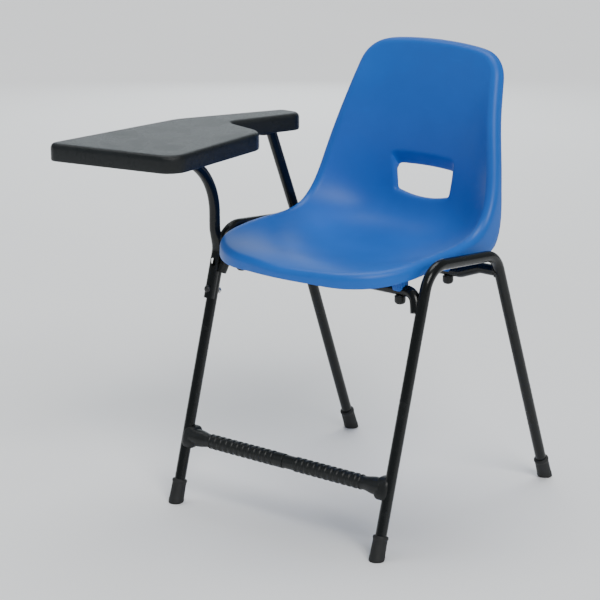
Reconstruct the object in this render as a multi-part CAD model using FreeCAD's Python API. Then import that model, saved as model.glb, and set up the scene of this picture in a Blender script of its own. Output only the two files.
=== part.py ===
import FreeCAD, Part
import math
import os

os.makedirs("parts", exist_ok=True)

V = FreeCAD.Vector
UP = V(0, 0, 1)
ACROSS = V(1, 0, 0)
BACK = V(0, 1, 0)

# Millimetres.  +Z is up, the seat faces -Y, +X is the sitter's left.  The chair is drawn
# about its own middle plane x = 0 with the floor at z = 0, and is moved at the end so that
# the origin is the middle of the floor rectangle that the whole object covers.

# Steel tube
TUBE_OD = 19.05
TUBE_WALL = 1.5
FIT_CLEARANCE = 0.1

# Half the side of the blocks that trim shapes to a level, larger than anything they trim
TRIM = 100.0

# Side frames, each one tube bent into an upside-down U
FRAME_HALF_WIDTH = 218.0
FRAME_HEIGHT = 471.0
RAIL_FALL = 21.0
FRONT_FOOT_Y = -73.7
REAR_FOOT_Y = 437.4
FRONT_LEG_SLOPE = 0.295
REAR_LEG_SLOPE = 0.393
RAIL_BEND_RADIUS = 48.0

# Rubber ferrules on the four feet
FERRULE_TOP_OD = 24.6
FERRULE_FOOT_OD = 27.0
FERRULE_LENGTH = 42.0
FERRULE_SOLE = 8.0
FERRULE_EDGE_RADIUS = 2.5

# Cross-members under the seat
FRONT_CROSS_BEND_RADIUS = 22.0
REAR_CROSS_BEND_RADIUS = 24.0
FRONT_CROSS_Z = 427.0
FRONT_CROSS_TAIL = 11.0
FRONT_CROSS_TUCK = 9.0
REAR_CROSS_END_Z = 418.0
REAR_CROSS_Z = 403.0
REAR_CROSS_SLOPE_START_X = 178.0
REAR_CROSS_SLOPE_END_X = 138.0

# Front stretcher and its two-piece ribbed sleeve
STRETCHER_Z = 115.0
SLEEVE_WALL = 2.0
SLEEVE_RIB_HEIGHT = 0.9
SLEEVE_RIB_WIDTH = 7.0
SLEEVE_RIB_PITCH = 12.4
SLEEVE_RIB_COUNT = 11
SLEEVE_PLAIN_END = 26.0
SLEEVE_LAP_STEP = 1.2
SLEEVE_GAP = 0.4
COLLAR_HEIGHT = 34.0
COLLAR_LENGTH = 26.0
COLLAR_WALL = 3.0
COLLAR_EDGE_RADIUS = 4.0

# Moulded seat shell.  Each station across the shell is a centre point, a half width and a
# side lift: (share of the depth from the front edge, share of the back's rise above the
# rails, share of the half width, share of the largest side lift, lean of the lift from
# upright in degrees).
SHELL_DEPTH = 440.0
SHELL_BACK_RISE = 294.0
SHELL_FRONT_Y = -52.0
SHELL_RAIL_GAP = 3.0
SHELL_SIDE_LIFT = 70.0
SHELL_LIFT_POWER = 2.8
SHELL_THICKNESS = 4.0
SHELL_ROLL_RADIUS = 8.5
SHELL_FLANGE = 7.0
SHELL_CORNER_DROP = 7.0
SHELL_CORNER_DROP_RUN = 180.0
SHELL_SKIRT = 36.0
SHELL_SKIRT_RUN = 50.0
SHELL_SKIRT_STATION = 5
SHELL_SKIRT_TURN = 14.0
SHELL_FRONT_CORNER = 120.0
SHELL_TOP_CORNER = 40.0
SHELL_FRONT_BOW = 9.0
SHELL_TOP_BOW = 5.0
SHELL_STATIONS = [
    (0.000, -0.040, 0.885, 0.00, 0.0),
    (0.073, -0.031, 0.920, 0.02, 0.0),
    (0.232, -0.065, 0.980, 0.24, 0.0),
    (0.436, -0.119, 1.000, 0.51, 2.0),
    (0.641, -0.136, 0.965, 0.63, 20.0),
    (0.800, -0.105, 0.948, 0.87, 38.0),
    (0.890, -0.003, 0.933, 0.98, 47.0),
    (0.923, 0.150, 0.907, 0.90, 53.0),
    (0.930, 0.361, 0.860, 0.66, 62.0),
    (0.946, 0.609, 0.784, 0.45, 73.0),
    (0.972, 0.830, 0.727, 0.26, 84.0),
    (1.000, 1.000, 0.675, 0.12, 90.0),
]

# How finely the shell's surface is steered: points along the three stretches of its edge,
# shares of the way from slot to edge, and rows round the rolled rim
EDGE_STEPS = 12
SHELL_COLUMNS = (12, 13, 11)
SHELL_ROW_SHARES = (0.0, 0.03, 0.1, 0.2, 0.32, 0.44, 0.56, 0.68, 0.79, 0.88, 0.95, 0.985, 1.0)
SHELL_ROLL_ROWS = 4
SHELL_FLANGE_ROWS = 2
SLOT_LIP_SHARES = (1.0, 0.66, 0.33)

# Hand slot in the back
SLOT_BOTTOM_STATION = 6.60
SLOT_TOP_STATION = 7.98
SLOT_BOTTOM_HALF = 61.0
SLOT_TOP_HALF = 69.0
SLOT_CORNER = 9.0
SLOT_BOTTOM_SAG = 6.0
SLOT_TOP_ARCH = 3.0
SLOT_LIP = 7.0
SLOT_TOP_LIP = 25.0
SLOT_LIP_ANGLE = 84.0
SLOT_LIP_RUN = 42.0
SLOT_TOP_LIP_SLOPE = 30.0
SLOT_TOP_LIP_TAPER = 0.004

# Seat fixings
FRONT_BOLT_X = 169.0
REAR_BOLT_X = 112.0
BOSS_OD = 26.0
BOLT_D = 6.0
BOLT_HEAD_D = 10.0
BOLT_HEAD_H = 4.0
WASHER_OD = 15.0
WASHER_T = 1.5
INSERT_OD = 9.0
INSERT_LENGTH = 9.0
CAP_OD = 19.0
CAP_HEIGHT = 14.0
CAP_EDGE_RADIUS = 6.5

# Writing tablet
TABLET_RISE = 179.0
TABLET_THICKNESS = 30.0
TABLET_WALL = 3.5
TABLET_EDGE_RADIUS = 7.0
TABLET_BASE_T = 9.0
TABLET_BASE_GAP = 0.4
# Corners and their radii, with x from the plane of the arms
TABLET_OUTLINE = [
    (-144.0, -230.0, 16.0),
    (101.0, -179.0, 38.0),
    (89.0, 69.0, 40.0),
    (-9.0, 92.0, 12.0),
    (50.0, 240.0, 20.0),
    (-8.0, 237.0, 18.0),
    (-104.0, 58.0, 90.0),
]

# Tubes that carry the tablet, both in the plane of the sitter's right side frame
ARM_BEND_RADIUS = 110.0
ARM_FRONT_REACH_Y = -120.0
ARM_RISER_Y = 39.0
ARM_NEST_OFFSET = 7.5
ARM_NEST_TOP_Z = 436.0
ARM_NEST_BOTTOM_Z = 350.0
ARM_JOG_RADIUS = 40.0
ARM_PLUG_HEAD = 2.0
ARM_PLUG_DEPTH = 14.0
ARM_DRAIN_Z = 413.0
ARM_DRAIN_TURN = -52.0
ARM_DRAIN_FORWARD = 3.8
ARM_DRAIN_WIDTH = 7.0
ARM_DRAIN_HEIGHT = 14.0
ARM_DRAIN_CORNER = 2.9
ARM_BOLT_Z = 363.0
REAR_ARM_TOP_Y = 194.0
REAR_ARM_PLATE_T = 3.0
REAR_ARM_PLATE_LENGTH = 70.0
REAR_ARM_PLATE_WIDTH = 30.0
REAR_ARM_PLATE_CORNER = 6.4
ARM_HEAD_D = 13.0
ARM_HEAD_H = 4.5
ARM_WASHER_OD = 12.0
ARM_NUT_AF = 10.0
ARM_NUT_H = 5.0

# Tablet fixings
CLAMP_WIDTH = 16.0
CLAMP_WALL = 2.0
CLAMP_FLANGE = 13.0
CLAMP_YS = (-84.0, -106.0)
SCREW_D = 4.0
SCREW_HEAD_D = 8.0
SCREW_HEAD_H = 2.4
SCREW_HEAD_EDGE = 1.4
SCREW_LENGTH = 7.0
BASE_SCREWS = [(-117.0, -195.0), (68.0, -150.0), (68.0, 40.0), (-82.0, 55.0), (28.0, 224.0)]

tube_r = TUBE_OD / 2.0
tube_bore_r = tube_r - TUBE_WALL


# ---------------------------------------------------------------- general shapes

def cylinder(start, axis, radius, length):
    return Part.makeCylinder(radius, length, start, axis)


def ring(start, axis, outer_r, inner_r, length):
    return cylinder(start, axis, outer_r, length).cut(cylinder(start, axis, inner_r, length))


def bent_wire(points, radii):
    """Straight runs through the points, with a tangent arc at each inner point."""
    edges = []
    last = points[0]
    for before, corner, after, radius in zip(points, points[1:], points[2:], radii):
        into = (corner - before).normalize()
        out = (after - corner).normalize()
        turn = into.getAngle(out)
        reach = radius * math.tan(turn / 2.0)
        start = corner - into * reach
        end = corner + out * reach
        bisector = (out - into).normalize()
        middle = corner + bisector * (radius / math.cos(turn / 2.0) - radius)
        edges.append(Part.LineSegment(last, start).toShape())
        edges.append(Part.Arc(start, middle, end).toShape())
        last = end
    edges.append(Part.LineSegment(last, points[-1]).toShape())
    return Part.Wire(edges)


def bar(points, radii, radius):
    """A round bar along a bent wire."""
    wire = bent_wire(points, radii)
    axis = (points[1] - points[0]).normalize()
    section = Part.Wire([Part.makeCircle(radius, points[0], axis)])
    return wire.makePipeShell([section], True, True)


def tube(points, radii):
    return bar(points, radii, tube_r).cut(bar(points, radii, tube_bore_r))


def room_below(x, y, z):
    """A block that takes away everything below a level."""
    return Part.makeBox(2 * TRIM, 2 * TRIM, TRIM, V(x - TRIM, y - TRIM, z - TRIM))


def mirrored(shape):
    return shape.mirror(V(0, 0, 0), ACROSS)


def rounded_outline(corners, z):
    """A closed flat wire through (x, y, radius) corners, each rounded by its own radius."""
    count = len(corners)
    edges = []
    ends = []
    for i in range(count):
        before = V(corners[i - 1][0], corners[i - 1][1], z)
        corner = V(corners[i][0], corners[i][1], z)
        after = V(corners[(i + 1) % count][0], corners[(i + 1) % count][1], z)
        into = (corner - before).normalize()
        out = (after - corner).normalize()
        turn = into.getAngle(out)
        reach = corners[i][2] * math.tan(turn / 2.0)
        bisector = (out - into).normalize()
        middle = corner + bisector * (corners[i][2] / math.cos(turn / 2.0) - corners[i][2])
        ends.append((corner - into * reach, middle, corner + out * reach))
    for i in range(count):
        start, middle, end = ends[i]
        edges.append(Part.Arc(start, middle, end).toShape())
        edges.append(Part.LineSegment(end, ends[(i + 1) % count][0]).toShape())
    return Part.Wire(edges)


def slab(wire, height):
    return Part.Face(wire).extrude(V(0, 0, height))


# ---------------------------------------------------------------- side frames

front_corner = V(0, FRONT_FOOT_Y + FRONT_LEG_SLOPE * FRAME_HEIGHT, FRAME_HEIGHT)
rear_corner_z = FRAME_HEIGHT - RAIL_FALL
rear_corner = V(0, REAR_FOOT_Y - REAR_LEG_SLOPE * rear_corner_z, rear_corner_z)
front_foot = V(0, FRONT_FOOT_Y, 0)
rear_foot = V(0, REAR_FOOT_Y, 0)
front_leg_axis = (front_corner - front_foot).normalize()
rear_leg_axis = (rear_corner - rear_foot).normalize()


def front_leg_y(z):
    return FRONT_FOOT_Y + FRONT_LEG_SLOPE * z


def rear_leg_y(z):
    return REAR_FOOT_Y - REAR_LEG_SLOPE * z


def side_frame_points(x):
    points = [
        front_foot + front_leg_axis * FERRULE_SOLE,
        front_corner,
        rear_corner,
        rear_foot + rear_leg_axis * FERRULE_SOLE,
    ]
    return [p + V(x, 0, 0) for p in points]


def side_frame(x):
    return tube(side_frame_points(x), [RAIL_BEND_RADIUS, RAIL_BEND_RADIUS])


def frame_bar(x, radius):
    """A solid bar on a side frame's centre line, used to shape what is fitted against it."""
    return bar(side_frame_points(x), [RAIL_BEND_RADIUS, RAIL_BEND_RADIUS], radius)


def leg_bar(x, foot, axis, radius):
    """A straight bar along a leg's axis, used to shape what seats on the leg."""
    return cylinder(foot + V(x, 0, 0), axis, radius, FRAME_HEIGHT)


def ferrule(x, foot, axis):
    """A rubber cup over the leg's end: a flared wall, a thick sole, cut level at the floor."""
    base = foot + V(x, 0, 0)
    foot_r = FERRULE_FOOT_OD / 2.0
    outer = Part.makeCone(foot_r, FERRULE_TOP_OD / 2.0, FERRULE_LENGTH + foot_r, base - axis * foot_r, axis)
    socket = cylinder(base + axis * FERRULE_SOLE, axis, tube_r + FIT_CLEARANCE, FERRULE_LENGTH)
    cup = outer.cut(room_below(base.x, base.y, 0))
    sole_edges = [e for e in cup.Edges if e.BoundBox.ZMax < 0.01]
    cup = cup.makeFillet(FERRULE_EDGE_RADIUS, sole_edges)
    return cup.cut(socket)


# ---------------------------------------------------------------- cross-members and stretcher

front_cross_radii = [FRONT_CROSS_BEND_RADIUS] * 2
rear_cross_radii = [REAR_CROSS_BEND_RADIUS] * 4


def front_cross_points():
    """Across behind the front legs, then down and outwards against the inside of each leg."""
    corner = V(FRAME_HALF_WIDTH - TUBE_OD, front_leg_y(FRONT_CROSS_Z), FRONT_CROSS_Z)
    tail = corner - front_leg_axis * (FRONT_CROSS_BEND_RADIUS + FRONT_CROSS_TAIL)
    tail = tail + ACROSS * FRONT_CROSS_TUCK
    return [tail, corner, V(-corner.x, corner.y, corner.z), V(-tail.x, tail.y, tail.z)]


def rear_cross_points():
    """In from the rear legs, a step down, and across low under the seat."""
    y = rear_leg_y(REAR_CROSS_END_Z)
    right = [
        V(FRAME_HALF_WIDTH, y, REAR_CROSS_END_Z),
        V(REAR_CROSS_SLOPE_START_X, y, REAR_CROSS_END_Z),
        V(REAR_CROSS_SLOPE_END_X, y, REAR_CROSS_Z),
    ]
    return right + [V(-p.x, p.y, p.z) for p in reversed(right)]


def coped(member):
    """The member with its ends shaped to the two side frames."""
    for x in (-FRAME_HALF_WIDTH, FRAME_HALF_WIDTH):
        member = member.cut(frame_bar(x, tube_r))
    return max(member.Solids, key=lambda s: s.Volume)


def front_crossmember():
    """The front member, with a notch at the sitter's right where the front arm lies."""
    member = tube(front_cross_points(), front_cross_radii)
    return coped(member.cut(bar(front_arm_points(), front_arm_radii, tube_r + FIT_CLEARANCE)))


def rear_crossmember():
    """The rear member, with a notch at the sitter's right where the rear arm passes."""
    member = tube(rear_cross_points(), rear_cross_radii)
    return coped(member.cut(bar(rear_arm_points(), rear_arm_radii, tube_r + FIT_CLEARANCE)))


def stretcher():
    y = front_leg_y(STRETCHER_Z)
    start = V(-FRAME_HALF_WIDTH, y, STRETCHER_Z)
    rod = ring(start, ACROSS, tube_r, tube_bore_r, 2 * FRAME_HALF_WIDTH)
    return coped(rod)


sleeve_bore_r = tube_r + FIT_CLEARANCE
sleeve_r = sleeve_bore_r + SLEEVE_WALL


def collar():
    """The sleeve's end: a rounded block that hugs the inner half of the leg."""
    y = front_leg_y(STRETCHER_Z)
    outer_r = tube_r + FIT_CLEARANCE + COLLAR_WALL
    inner_x = FRAME_HALF_WIDTH - COLLAR_LENGTH
    block = Part.makeBox(
        COLLAR_LENGTH, 2 * outer_r, COLLAR_HEIGHT, V(inner_x, -outer_r, -COLLAR_HEIGHT / 2.0)
    )
    inner_edges = [e for e in block.Edges if e.BoundBox.XMax < inner_x + 0.01]
    block = block.makeFillet(COLLAR_EDGE_RADIUS, inner_edges)
    lean = math.degrees(math.atan(FRONT_LEG_SLOPE))
    block.rotate(V(0, 0, 0), ACROSS, -lean)
    block.translate(V(0, y, STRETCHER_Z))
    return block


def sleeve_half(wall_extra):
    """One half of the ribbed sleeve, on the sitter's left, from the middle out to its collar."""
    y = front_leg_y(STRETCHER_Z)
    start_x = SLEEVE_GAP / 2.0
    inner_x = FRAME_HALF_WIDTH - COLLAR_LENGTH
    start = V(start_x, y, STRETCHER_Z)
    body = cylinder(start, ACROSS, sleeve_r, inner_x + COLLAR_EDGE_RADIUS - start_x)
    body = body.fuse(cylinder(start, ACROSS, sleeve_r + wall_extra, SLEEVE_PLAIN_END))
    for i in range(SLEEVE_RIB_COUNT):
        rib_x = start_x + SLEEVE_PLAIN_END + SLEEVE_RIB_PITCH * (i + 0.5)
        rib = cylinder(
            V(rib_x - SLEEVE_RIB_WIDTH / 2.0, y, STRETCHER_Z),
            ACROSS,
            sleeve_r + SLEEVE_RIB_HEIGHT,
            SLEEVE_RIB_WIDTH,
        )
        body = body.fuse(rib)
    body = body.fuse(collar())
    body = body.cut(cylinder(start - ACROSS, ACROSS, sleeve_bore_r, FRAME_HALF_WIDTH))
    body = body.cut(leg_bar(FRAME_HALF_WIDTH, front_foot, front_leg_axis, tube_r + FIT_CLEARANCE))
    return max(body.Solids, key=lambda s: s.Volume)


# ---------------------------------------------------------------- seat shell surface

def natural_spline(knots, values):
    """A smooth curve through the values: cubic pieces, with no bending at either end."""
    n = len(knots)
    step = [knots[i + 1] - knots[i] for i in range(n - 1)]
    bend = [0.0] * n
    diagonal = [1.0] * n
    right = [0.0] * n
    for i in range(1, n - 1):
        slope_change = (values[i + 1] - values[i]) / step[i] - (values[i] - values[i - 1]) / step[i - 1]
        pivot = 2.0 * (knots[i + 1] - knots[i - 1]) - step[i - 1] * diagonal[i - 1] * (i > 1)
        diagonal[i] = step[i] / pivot
        right[i] = (6.0 * slope_change - step[i - 1] * right[i - 1]) / pivot
    for i in range(n - 2, 0, -1):
        bend[i] = right[i] - diagonal[i] * bend[i + 1]

    def value(t):
        i = min(max(sum(1 for k in knots[1:-1] if t > k), 0), n - 2)
        a = (knots[i + 1] - t) / step[i]
        b = (t - knots[i]) / step[i]
        curve = (a ** 3 - a) * bend[i] + (b ** 3 - b) * bend[i + 1]
        return a * values[i] + b * values[i + 1] + curve * step[i] ** 2 / 6.0

    return value


shell_half_width = (
    FRAME_HALF_WIDTH - tube_r - SHELL_RAIL_GAP - SHELL_ROLL_RADIUS * 2.0
)
station_y = [SHELL_FRONT_Y + s[0] * SHELL_DEPTH for s in SHELL_STATIONS]
station_z = [FRAME_HEIGHT + s[1] * SHELL_BACK_RISE for s in SHELL_STATIONS]
station_along = [0.0]
for i in range(1, len(SHELL_STATIONS)):
    hop = math.hypot(station_y[i] - station_y[i - 1], station_z[i] - station_z[i - 1])
    station_along.append(station_along[-1] + hop)
shell_length = station_along[-1]
centre_y = natural_spline(station_along, station_y)
centre_z = natural_spline(station_along, station_z)
half_width = natural_spline(station_along, [s[2] * shell_half_width for s in SHELL_STATIONS])
side_lift = natural_spline(station_along, [s[3] * SHELL_SIDE_LIFT for s in SHELL_STATIONS])
lift_lean = natural_spline(station_along, [math.radians(s[4]) for s in SHELL_STATIONS])


def along_at(station):
    """Distance along the centre line at a station number, which may be fractional."""
    i = int(station)
    return station_along[i] + (station - i) * (station_along[i + 1] - station_along[i])


def shell_point(along, across):
    """A point of the sitting surface: the centre line, lifted by a power of the share across."""
    share = abs(across) / half_width(along)
    lift = side_lift(along) * share ** SHELL_LIFT_POWER
    lean = lift_lean(along)
    return V(across, centre_y(along) - math.sin(lean) * lift, centre_z(along) + math.cos(lean) * lift)


def shell_normal(along, across):
    """The direction square to the sitting surface, towards the sitter."""
    d = 0.5
    run = shell_point(along + d, across) - shell_point(along - d, across)
    side = shell_point(along, across + d) - shell_point(along, across - d)
    normal = side.cross(run)
    return normal.normalize()


def shares():
    """Even steps from 0 to 1, used to draw each stretch of an edge."""
    return [i / float(EDGE_STEPS) for i in range(EDGE_STEPS + 1)]


def arc_points(centre, start, end):
    """Quarter-ellipse points from start to end about a centre, in the (along, across) plane."""
    points = []
    for share in shares()[1:]:
        a = math.cos(math.pi / 2.0 * share)
        b = math.sin(math.pi / 2.0 * share)
        points.append(tuple(centre[k] + (start[k] - centre[k]) * a + (end[k] - centre[k]) * b for k in (0, 1)))
    return points


def shell_outline():
    """Half of the shell's edge, from the middle of the front round to the middle of the top,
    in three stretches: front edge and corner, side, top corner and edge."""
    corner_across = half_width(SHELL_FRONT_CORNER) - SHELL_FRONT_CORNER
    side_start = SHELL_FRONT_BOW + SHELL_FRONT_CORNER
    corner_end = (side_start, half_width(side_start))
    front = [(SHELL_FRONT_BOW * share ** 2, corner_across * share) for share in shares()]
    front += arc_points((side_start, corner_across), front[-1], corner_end)
    top_start = shell_length - SHELL_TOP_BOW - SHELL_TOP_CORNER
    side = []
    for share in shares():
        along = side_start + (top_start - side_start) * share
        side.append((along, half_width(along)))
    top_across = side[-1][1] - SHELL_TOP_CORNER
    top_end = (shell_length - SHELL_TOP_BOW, top_across)
    top = [side[-1]] + arc_points((top_start, top_across), side[-1], top_end)
    for share in shares()[1:]:
        top.append((shell_length - SHELL_TOP_BOW * (1 - share) ** 2, top_across * (1 - share)))
    return front, side, top


def slot_outline():
    """Half of the slot's edge, from the middle of its bottom round to the middle of its top,
    in three stretches: bottom edge and corner, side, top corner and edge."""
    low = along_at(SLOT_BOTTOM_STATION)
    high = along_at(SLOT_TOP_STATION)
    reach = SLOT_BOTTOM_HALF - SLOT_CORNER
    bottom = [(low + SLOT_BOTTOM_SAG * share ** 2, reach * share) for share in shares()]
    side_start = (bottom[-1][0] + SLOT_CORNER, SLOT_BOTTOM_HALF)
    bottom += arc_points((side_start[0], reach), bottom[-1], side_start)
    side_end = (high - SLOT_CORNER, SLOT_TOP_HALF)
    side = [tuple(a + (b - a) * share for a, b in zip(side_start, side_end)) for share in shares()]
    top_start = (high, SLOT_TOP_HALF - SLOT_CORNER)
    top = [side_end] + arc_points((side_end[0], top_start[1]), side_end, top_start)
    for share in shares()[1:]:
        top.append((high + SLOT_TOP_ARCH * (1 - (1 - share) ** 2), top_start[1] * (1 - share)))
    return bottom, side, top


def resample(path, count):
    """Evenly spaced points on a path, both ends kept."""
    reach = [0.0]
    for a, b in zip(path, path[1:]):
        reach.append(reach[-1] + math.hypot(b[0] - a[0], b[1] - a[1]))
    out = []
    for i in range(count):
        goal = reach[-1] * i / (count - 1.0)
        j = max(1, min(len(path) - 1, sum(1 for r in reach if r < goal)))
        share = (goal - reach[j - 1]) / (reach[j] - reach[j - 1])
        out.append(tuple(path[j - 1][k] + share * (path[j][k] - path[j - 1][k]) for k in (0, 1)))
    return out


def joined_loop(stretches, counts):
    loop = []
    for path, count in zip(stretches, counts):
        points = resample(path, count)
        loop += points if not loop else points[1:]
    return loop


def smoothstep(x):
    x = min(max(x, 0.0), 1.0)
    return x * x * (3.0 - 2.0 * x)


def skirt_share(along):
    """How far the rim's flange is deepened, most where the seat's side turns up into the back."""
    return math.exp(-(((along - station_along[SHELL_SKIRT_STATION]) / SHELL_SKIRT_RUN) ** 2))


def corner_share(along, across):
    """How far the flange is deepened at the two front corners."""
    return smoothstep(1.0 - along / SHELL_CORNER_DROP_RUN) * smoothstep(across / half_width(along))


def shell_grid():
    """Rows of the right half of the sitting surface, from the slot's lip out to the rolled
    rim.  Each row holds points from the middle of the front to the middle of the top."""
    outer = joined_loop(shell_outline(), SHELL_COLUMNS)
    inner = joined_loop(slot_outline(), SHELL_COLUMNS)
    last = len(outer) - 1

    def edge_frame(loop, i):
        """Directions at an edge point: outwards along the surface, and towards the sitter."""
        if i in (0, last):
            around = ACROSS if i == 0 else -ACROSS
        else:
            around = shell_point(*loop[i + 1]) - shell_point(*loop[i - 1])
        normal = shell_normal(*loop[i])
        return around.cross(normal).normalize(), normal

    rows = []
    lip_angle = math.radians(SLOT_LIP_ANGLE)
    top_slope = math.radians(SLOT_TOP_LIP_SLOPE)
    slot_top = along_at(SLOT_TOP_STATION)
    for lip_share in SLOT_LIP_SHARES:
        row = []
        for i in range(last + 1):
            out, normal = edge_frame(inner, i)
            high = smoothstep(1.0 - (slot_top - inner[i][0]) / SLOT_LIP_RUN)
            low_lip = (out * -math.cos(lip_angle) - normal * math.sin(lip_angle)) * SLOT_LIP
            top_way = V(-inner[i][1] * SLOT_TOP_LIP_TAPER, math.sin(top_slope), -math.cos(top_slope))
            lip = low_lip * (1.0 - high) + top_way * (SLOT_TOP_LIP * high)
            row.append(shell_point(*inner[i]) + lip * lip_share)
        rows.append(row)
    for share in SHELL_ROW_SHARES:
        row = []
        for a, b in zip(inner, outer):
            row.append(shell_point(a[0] + (b[0] - a[0]) * share, a[1] + (b[1] - a[1]) * share))
        rows.append(row)
    for j in range(1, SHELL_ROLL_ROWS + SHELL_FLANGE_ROWS + 1):
        row = []
        for i in range(last + 1):
            out, normal = edge_frame(outer, i)
            skirt = skirt_share(outer[i][0])
            lean = lift_lean(outer[i][0]) + math.radians(SHELL_SKIRT_TURN) * skirt
            lift_way = V(0, -math.sin(lean), math.cos(lean))
            full = math.pi / 2.0 + math.asin(max(-1.0, min(1.0, out.dot(lift_way))))
            angle = full * min(j, SHELL_ROLL_ROWS) / SHELL_ROLL_ROWS
            way = out * math.cos(angle) - normal * math.sin(angle)
            flange = SHELL_FLANGE + SHELL_SKIRT * skirt + SHELL_CORNER_DROP * corner_share(*outer[i])
            drop = flange * max(0, j - SHELL_ROLL_ROWS) / SHELL_FLANGE_ROWS
            point = shell_point(*outer[i]) + out * (SHELL_ROLL_RADIUS * math.sin(angle))
            row.append(point - normal * (SHELL_ROLL_RADIUS * (1.0 - math.cos(angle))) + way * drop)
        rows.append(row)
    for row in rows:
        row[0].x = 0.0
        row[-1].x = 0.0
    return rows


def wall_behind(rows):
    """The same grid of points moved back by the wall thickness, square to the surface."""
    last_row = len(rows) - 1
    last = len(rows[0]) - 1
    moved = []
    for j in range(last_row + 1):
        line = []
        for i in range(last + 1):
            outwards = rows[min(j + 1, last_row)][i] - rows[max(j - 1, 0)][i]
            if i in (0, last):
                around = ACROSS if i == 0 else -ACROSS
            else:
                around = rows[j][i + 1] - rows[j][i - 1]
            line.append(rows[j][i] + outwards.cross(around).normalize() * SHELL_THICKNESS)
        moved.append(line)
    return moved


def smooth_surface(rows):
    """A cubic surface steered by a grid of points, exact along its four corners."""
    def knots(count):
        inner = count - 3
        return list(range(inner + 1)), [4] + [1] * (inner - 1) + [4]

    row_knots, row_mults = knots(len(rows))
    column_knots, column_mults = knots(len(rows[0]))
    surface = Part.BSplineSurface()
    surface.buildFromPolesMultsKnots(
        rows, row_mults, column_mults, row_knots, column_knots, False, False, 3, 3
    )
    return surface


def skin_faces():
    """The right half of the shell: front, back, slot edge and rim edge."""
    rows = shell_grid()
    front = smooth_surface(rows)
    back = smooth_surface(wall_behind(rows))
    start, end = front.bounds()[:2]
    slot_edge = Part.makeRuledSurface(front.uIso(start).toShape(), back.uIso(start).toShape())
    rim_edge = Part.makeRuledSurface(front.uIso(end).toShape(), back.uIso(end).toShape())
    return [front.toShape(), back.toShape(), slot_edge, rim_edge]


def shell_skin():
    faces = skin_faces()
    faces += [mirrored(f) for f in faces]
    skin = Part.makeShell([f.Faces[0] for f in faces])
    skin.sewShape()
    solid = Part.makeSolid(skin)
    if solid.Volume < 0:
        solid.reverse()
    return solid


# ---------------------------------------------------------------- seat shell and its fixings

def bolt_places():
    """The four seat bolts: x, y and the height of the cross-member's centre there."""
    front = (FRONT_BOLT_X, front_leg_y(FRONT_CROSS_Z), FRONT_CROSS_Z)
    rear = (REAR_BOLT_X, rear_leg_y(REAR_CROSS_END_Z), REAR_CROSS_Z)
    return [(sx * x, y, z) for x, y, z in (front, rear) for sx in (1, -1)]


bolt_hole_r = BOLT_D / 2.0 + FIT_CLEARANCE
head_z_drop = tube_r + WASHER_T


def bolt_hole(x, y, z):
    return cylinder(V(x, y, z - 2 * TUBE_OD), UP, bolt_hole_r, 4 * TUBE_OD)


def drilled(member):
    for x, y, z in bolt_places():
        member = member.cut(bolt_hole(x, y, z))
    return member


def seat_shell():
    """The moulded shell with four bosses that sit astride the cross-members."""
    cross_bars = [
        bar(front_cross_points(), front_cross_radii, tube_r + FIT_CLEARANCE),
        bar(rear_cross_points(), rear_cross_radii, tube_r + FIT_CLEARANCE),
    ]
    skin = shell_skin()
    shell = skin
    for x, y, z in bolt_places():
        post = cylinder(V(x, y, z), UP, BOSS_OD / 2.0, FRAME_HEIGHT - z).cut(skin)
        boss = min(post.Solids, key=lambda s: s.CenterOfMass.z)
        for cross_bar in cross_bars:
            boss = boss.cut(cross_bar)
        shell = shell.fuse(boss)
    for x, y, z in bolt_places():
        shell = shell.cut(cylinder(V(x, y, z), UP, INSERT_OD / 2.0, tube_r + INSERT_LENGTH))
    return max(shell.Solids, key=lambda s: s.Volume)


def at_bolts(make):
    return Part.makeCompound([make(x, y, z) for x, y, z in bolt_places()])


def insert(x, y, z):
    return ring(V(x, y, z + tube_r), UP, INSERT_OD / 2.0, BOLT_D / 2.0, INSERT_LENGTH)


def seat_washer(x, y, z):
    return ring(V(x, y, z - tube_r), -UP, WASHER_OD / 2.0, bolt_hole_r, WASHER_T)


def seat_bolt(x, y, z):
    top = z + tube_r + INSERT_LENGTH
    under = z - head_z_drop
    shank = cylinder(V(x, y, under), UP, BOLT_D / 2.0, top - under)
    return shank.fuse(cylinder(V(x, y, under), -UP, BOLT_HEAD_D / 2.0, BOLT_HEAD_H))


def bolt_cap(x, y, z):
    """A domed cap pushed over the bolt's head."""
    start = V(x, y, z - head_z_drop)
    body = cylinder(start, -UP, CAP_OD / 2.0, CAP_HEIGHT)
    lower = [e for e in body.Edges if e.BoundBox.ZMax < start.z - CAP_HEIGHT + 0.01]
    body = body.makeFillet(CAP_EDGE_RADIUS, lower)
    return body.cut(cylinder(start, -UP, BOLT_HEAD_D / 2.0 + FIT_CLEARANCE, BOLT_HEAD_H + FIT_CLEARANCE))


# ---------------------------------------------------------------- writing tablet

tablet_top_z = FRAME_HEIGHT + TABLET_RISE
tablet_base_z = tablet_top_z - TABLET_THICKNESS
arm_x = -FRAME_HALF_WIDTH
clamp_r = tube_r + FIT_CLEARANCE
arm_run_z = tablet_base_z - clamp_r
clamp_screw_x = clamp_r + CLAMP_WALL + CLAMP_FLANGE / 2.0


def inset_outline(inset):
    corners = [(arm_x + x, y, radius) for x, y, radius in TABLET_OUTLINE]
    wire = rounded_outline(corners, tablet_base_z)
    return wire.makeOffset2D(-inset) if inset else wire


def tablet_top():
    """The moulded top: an upside-down tray with a rounded upper edge."""
    body = slab(inset_outline(0), TABLET_THICKNESS)
    upper = [e for e in body.Edges if e.BoundBox.ZMin > tablet_top_z - 0.01]
    body = body.makeFillet(TABLET_EDGE_RADIUS, upper)
    hollow = slab(inset_outline(TABLET_WALL), TABLET_THICKNESS - TABLET_WALL)
    return body.cut(hollow)


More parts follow.
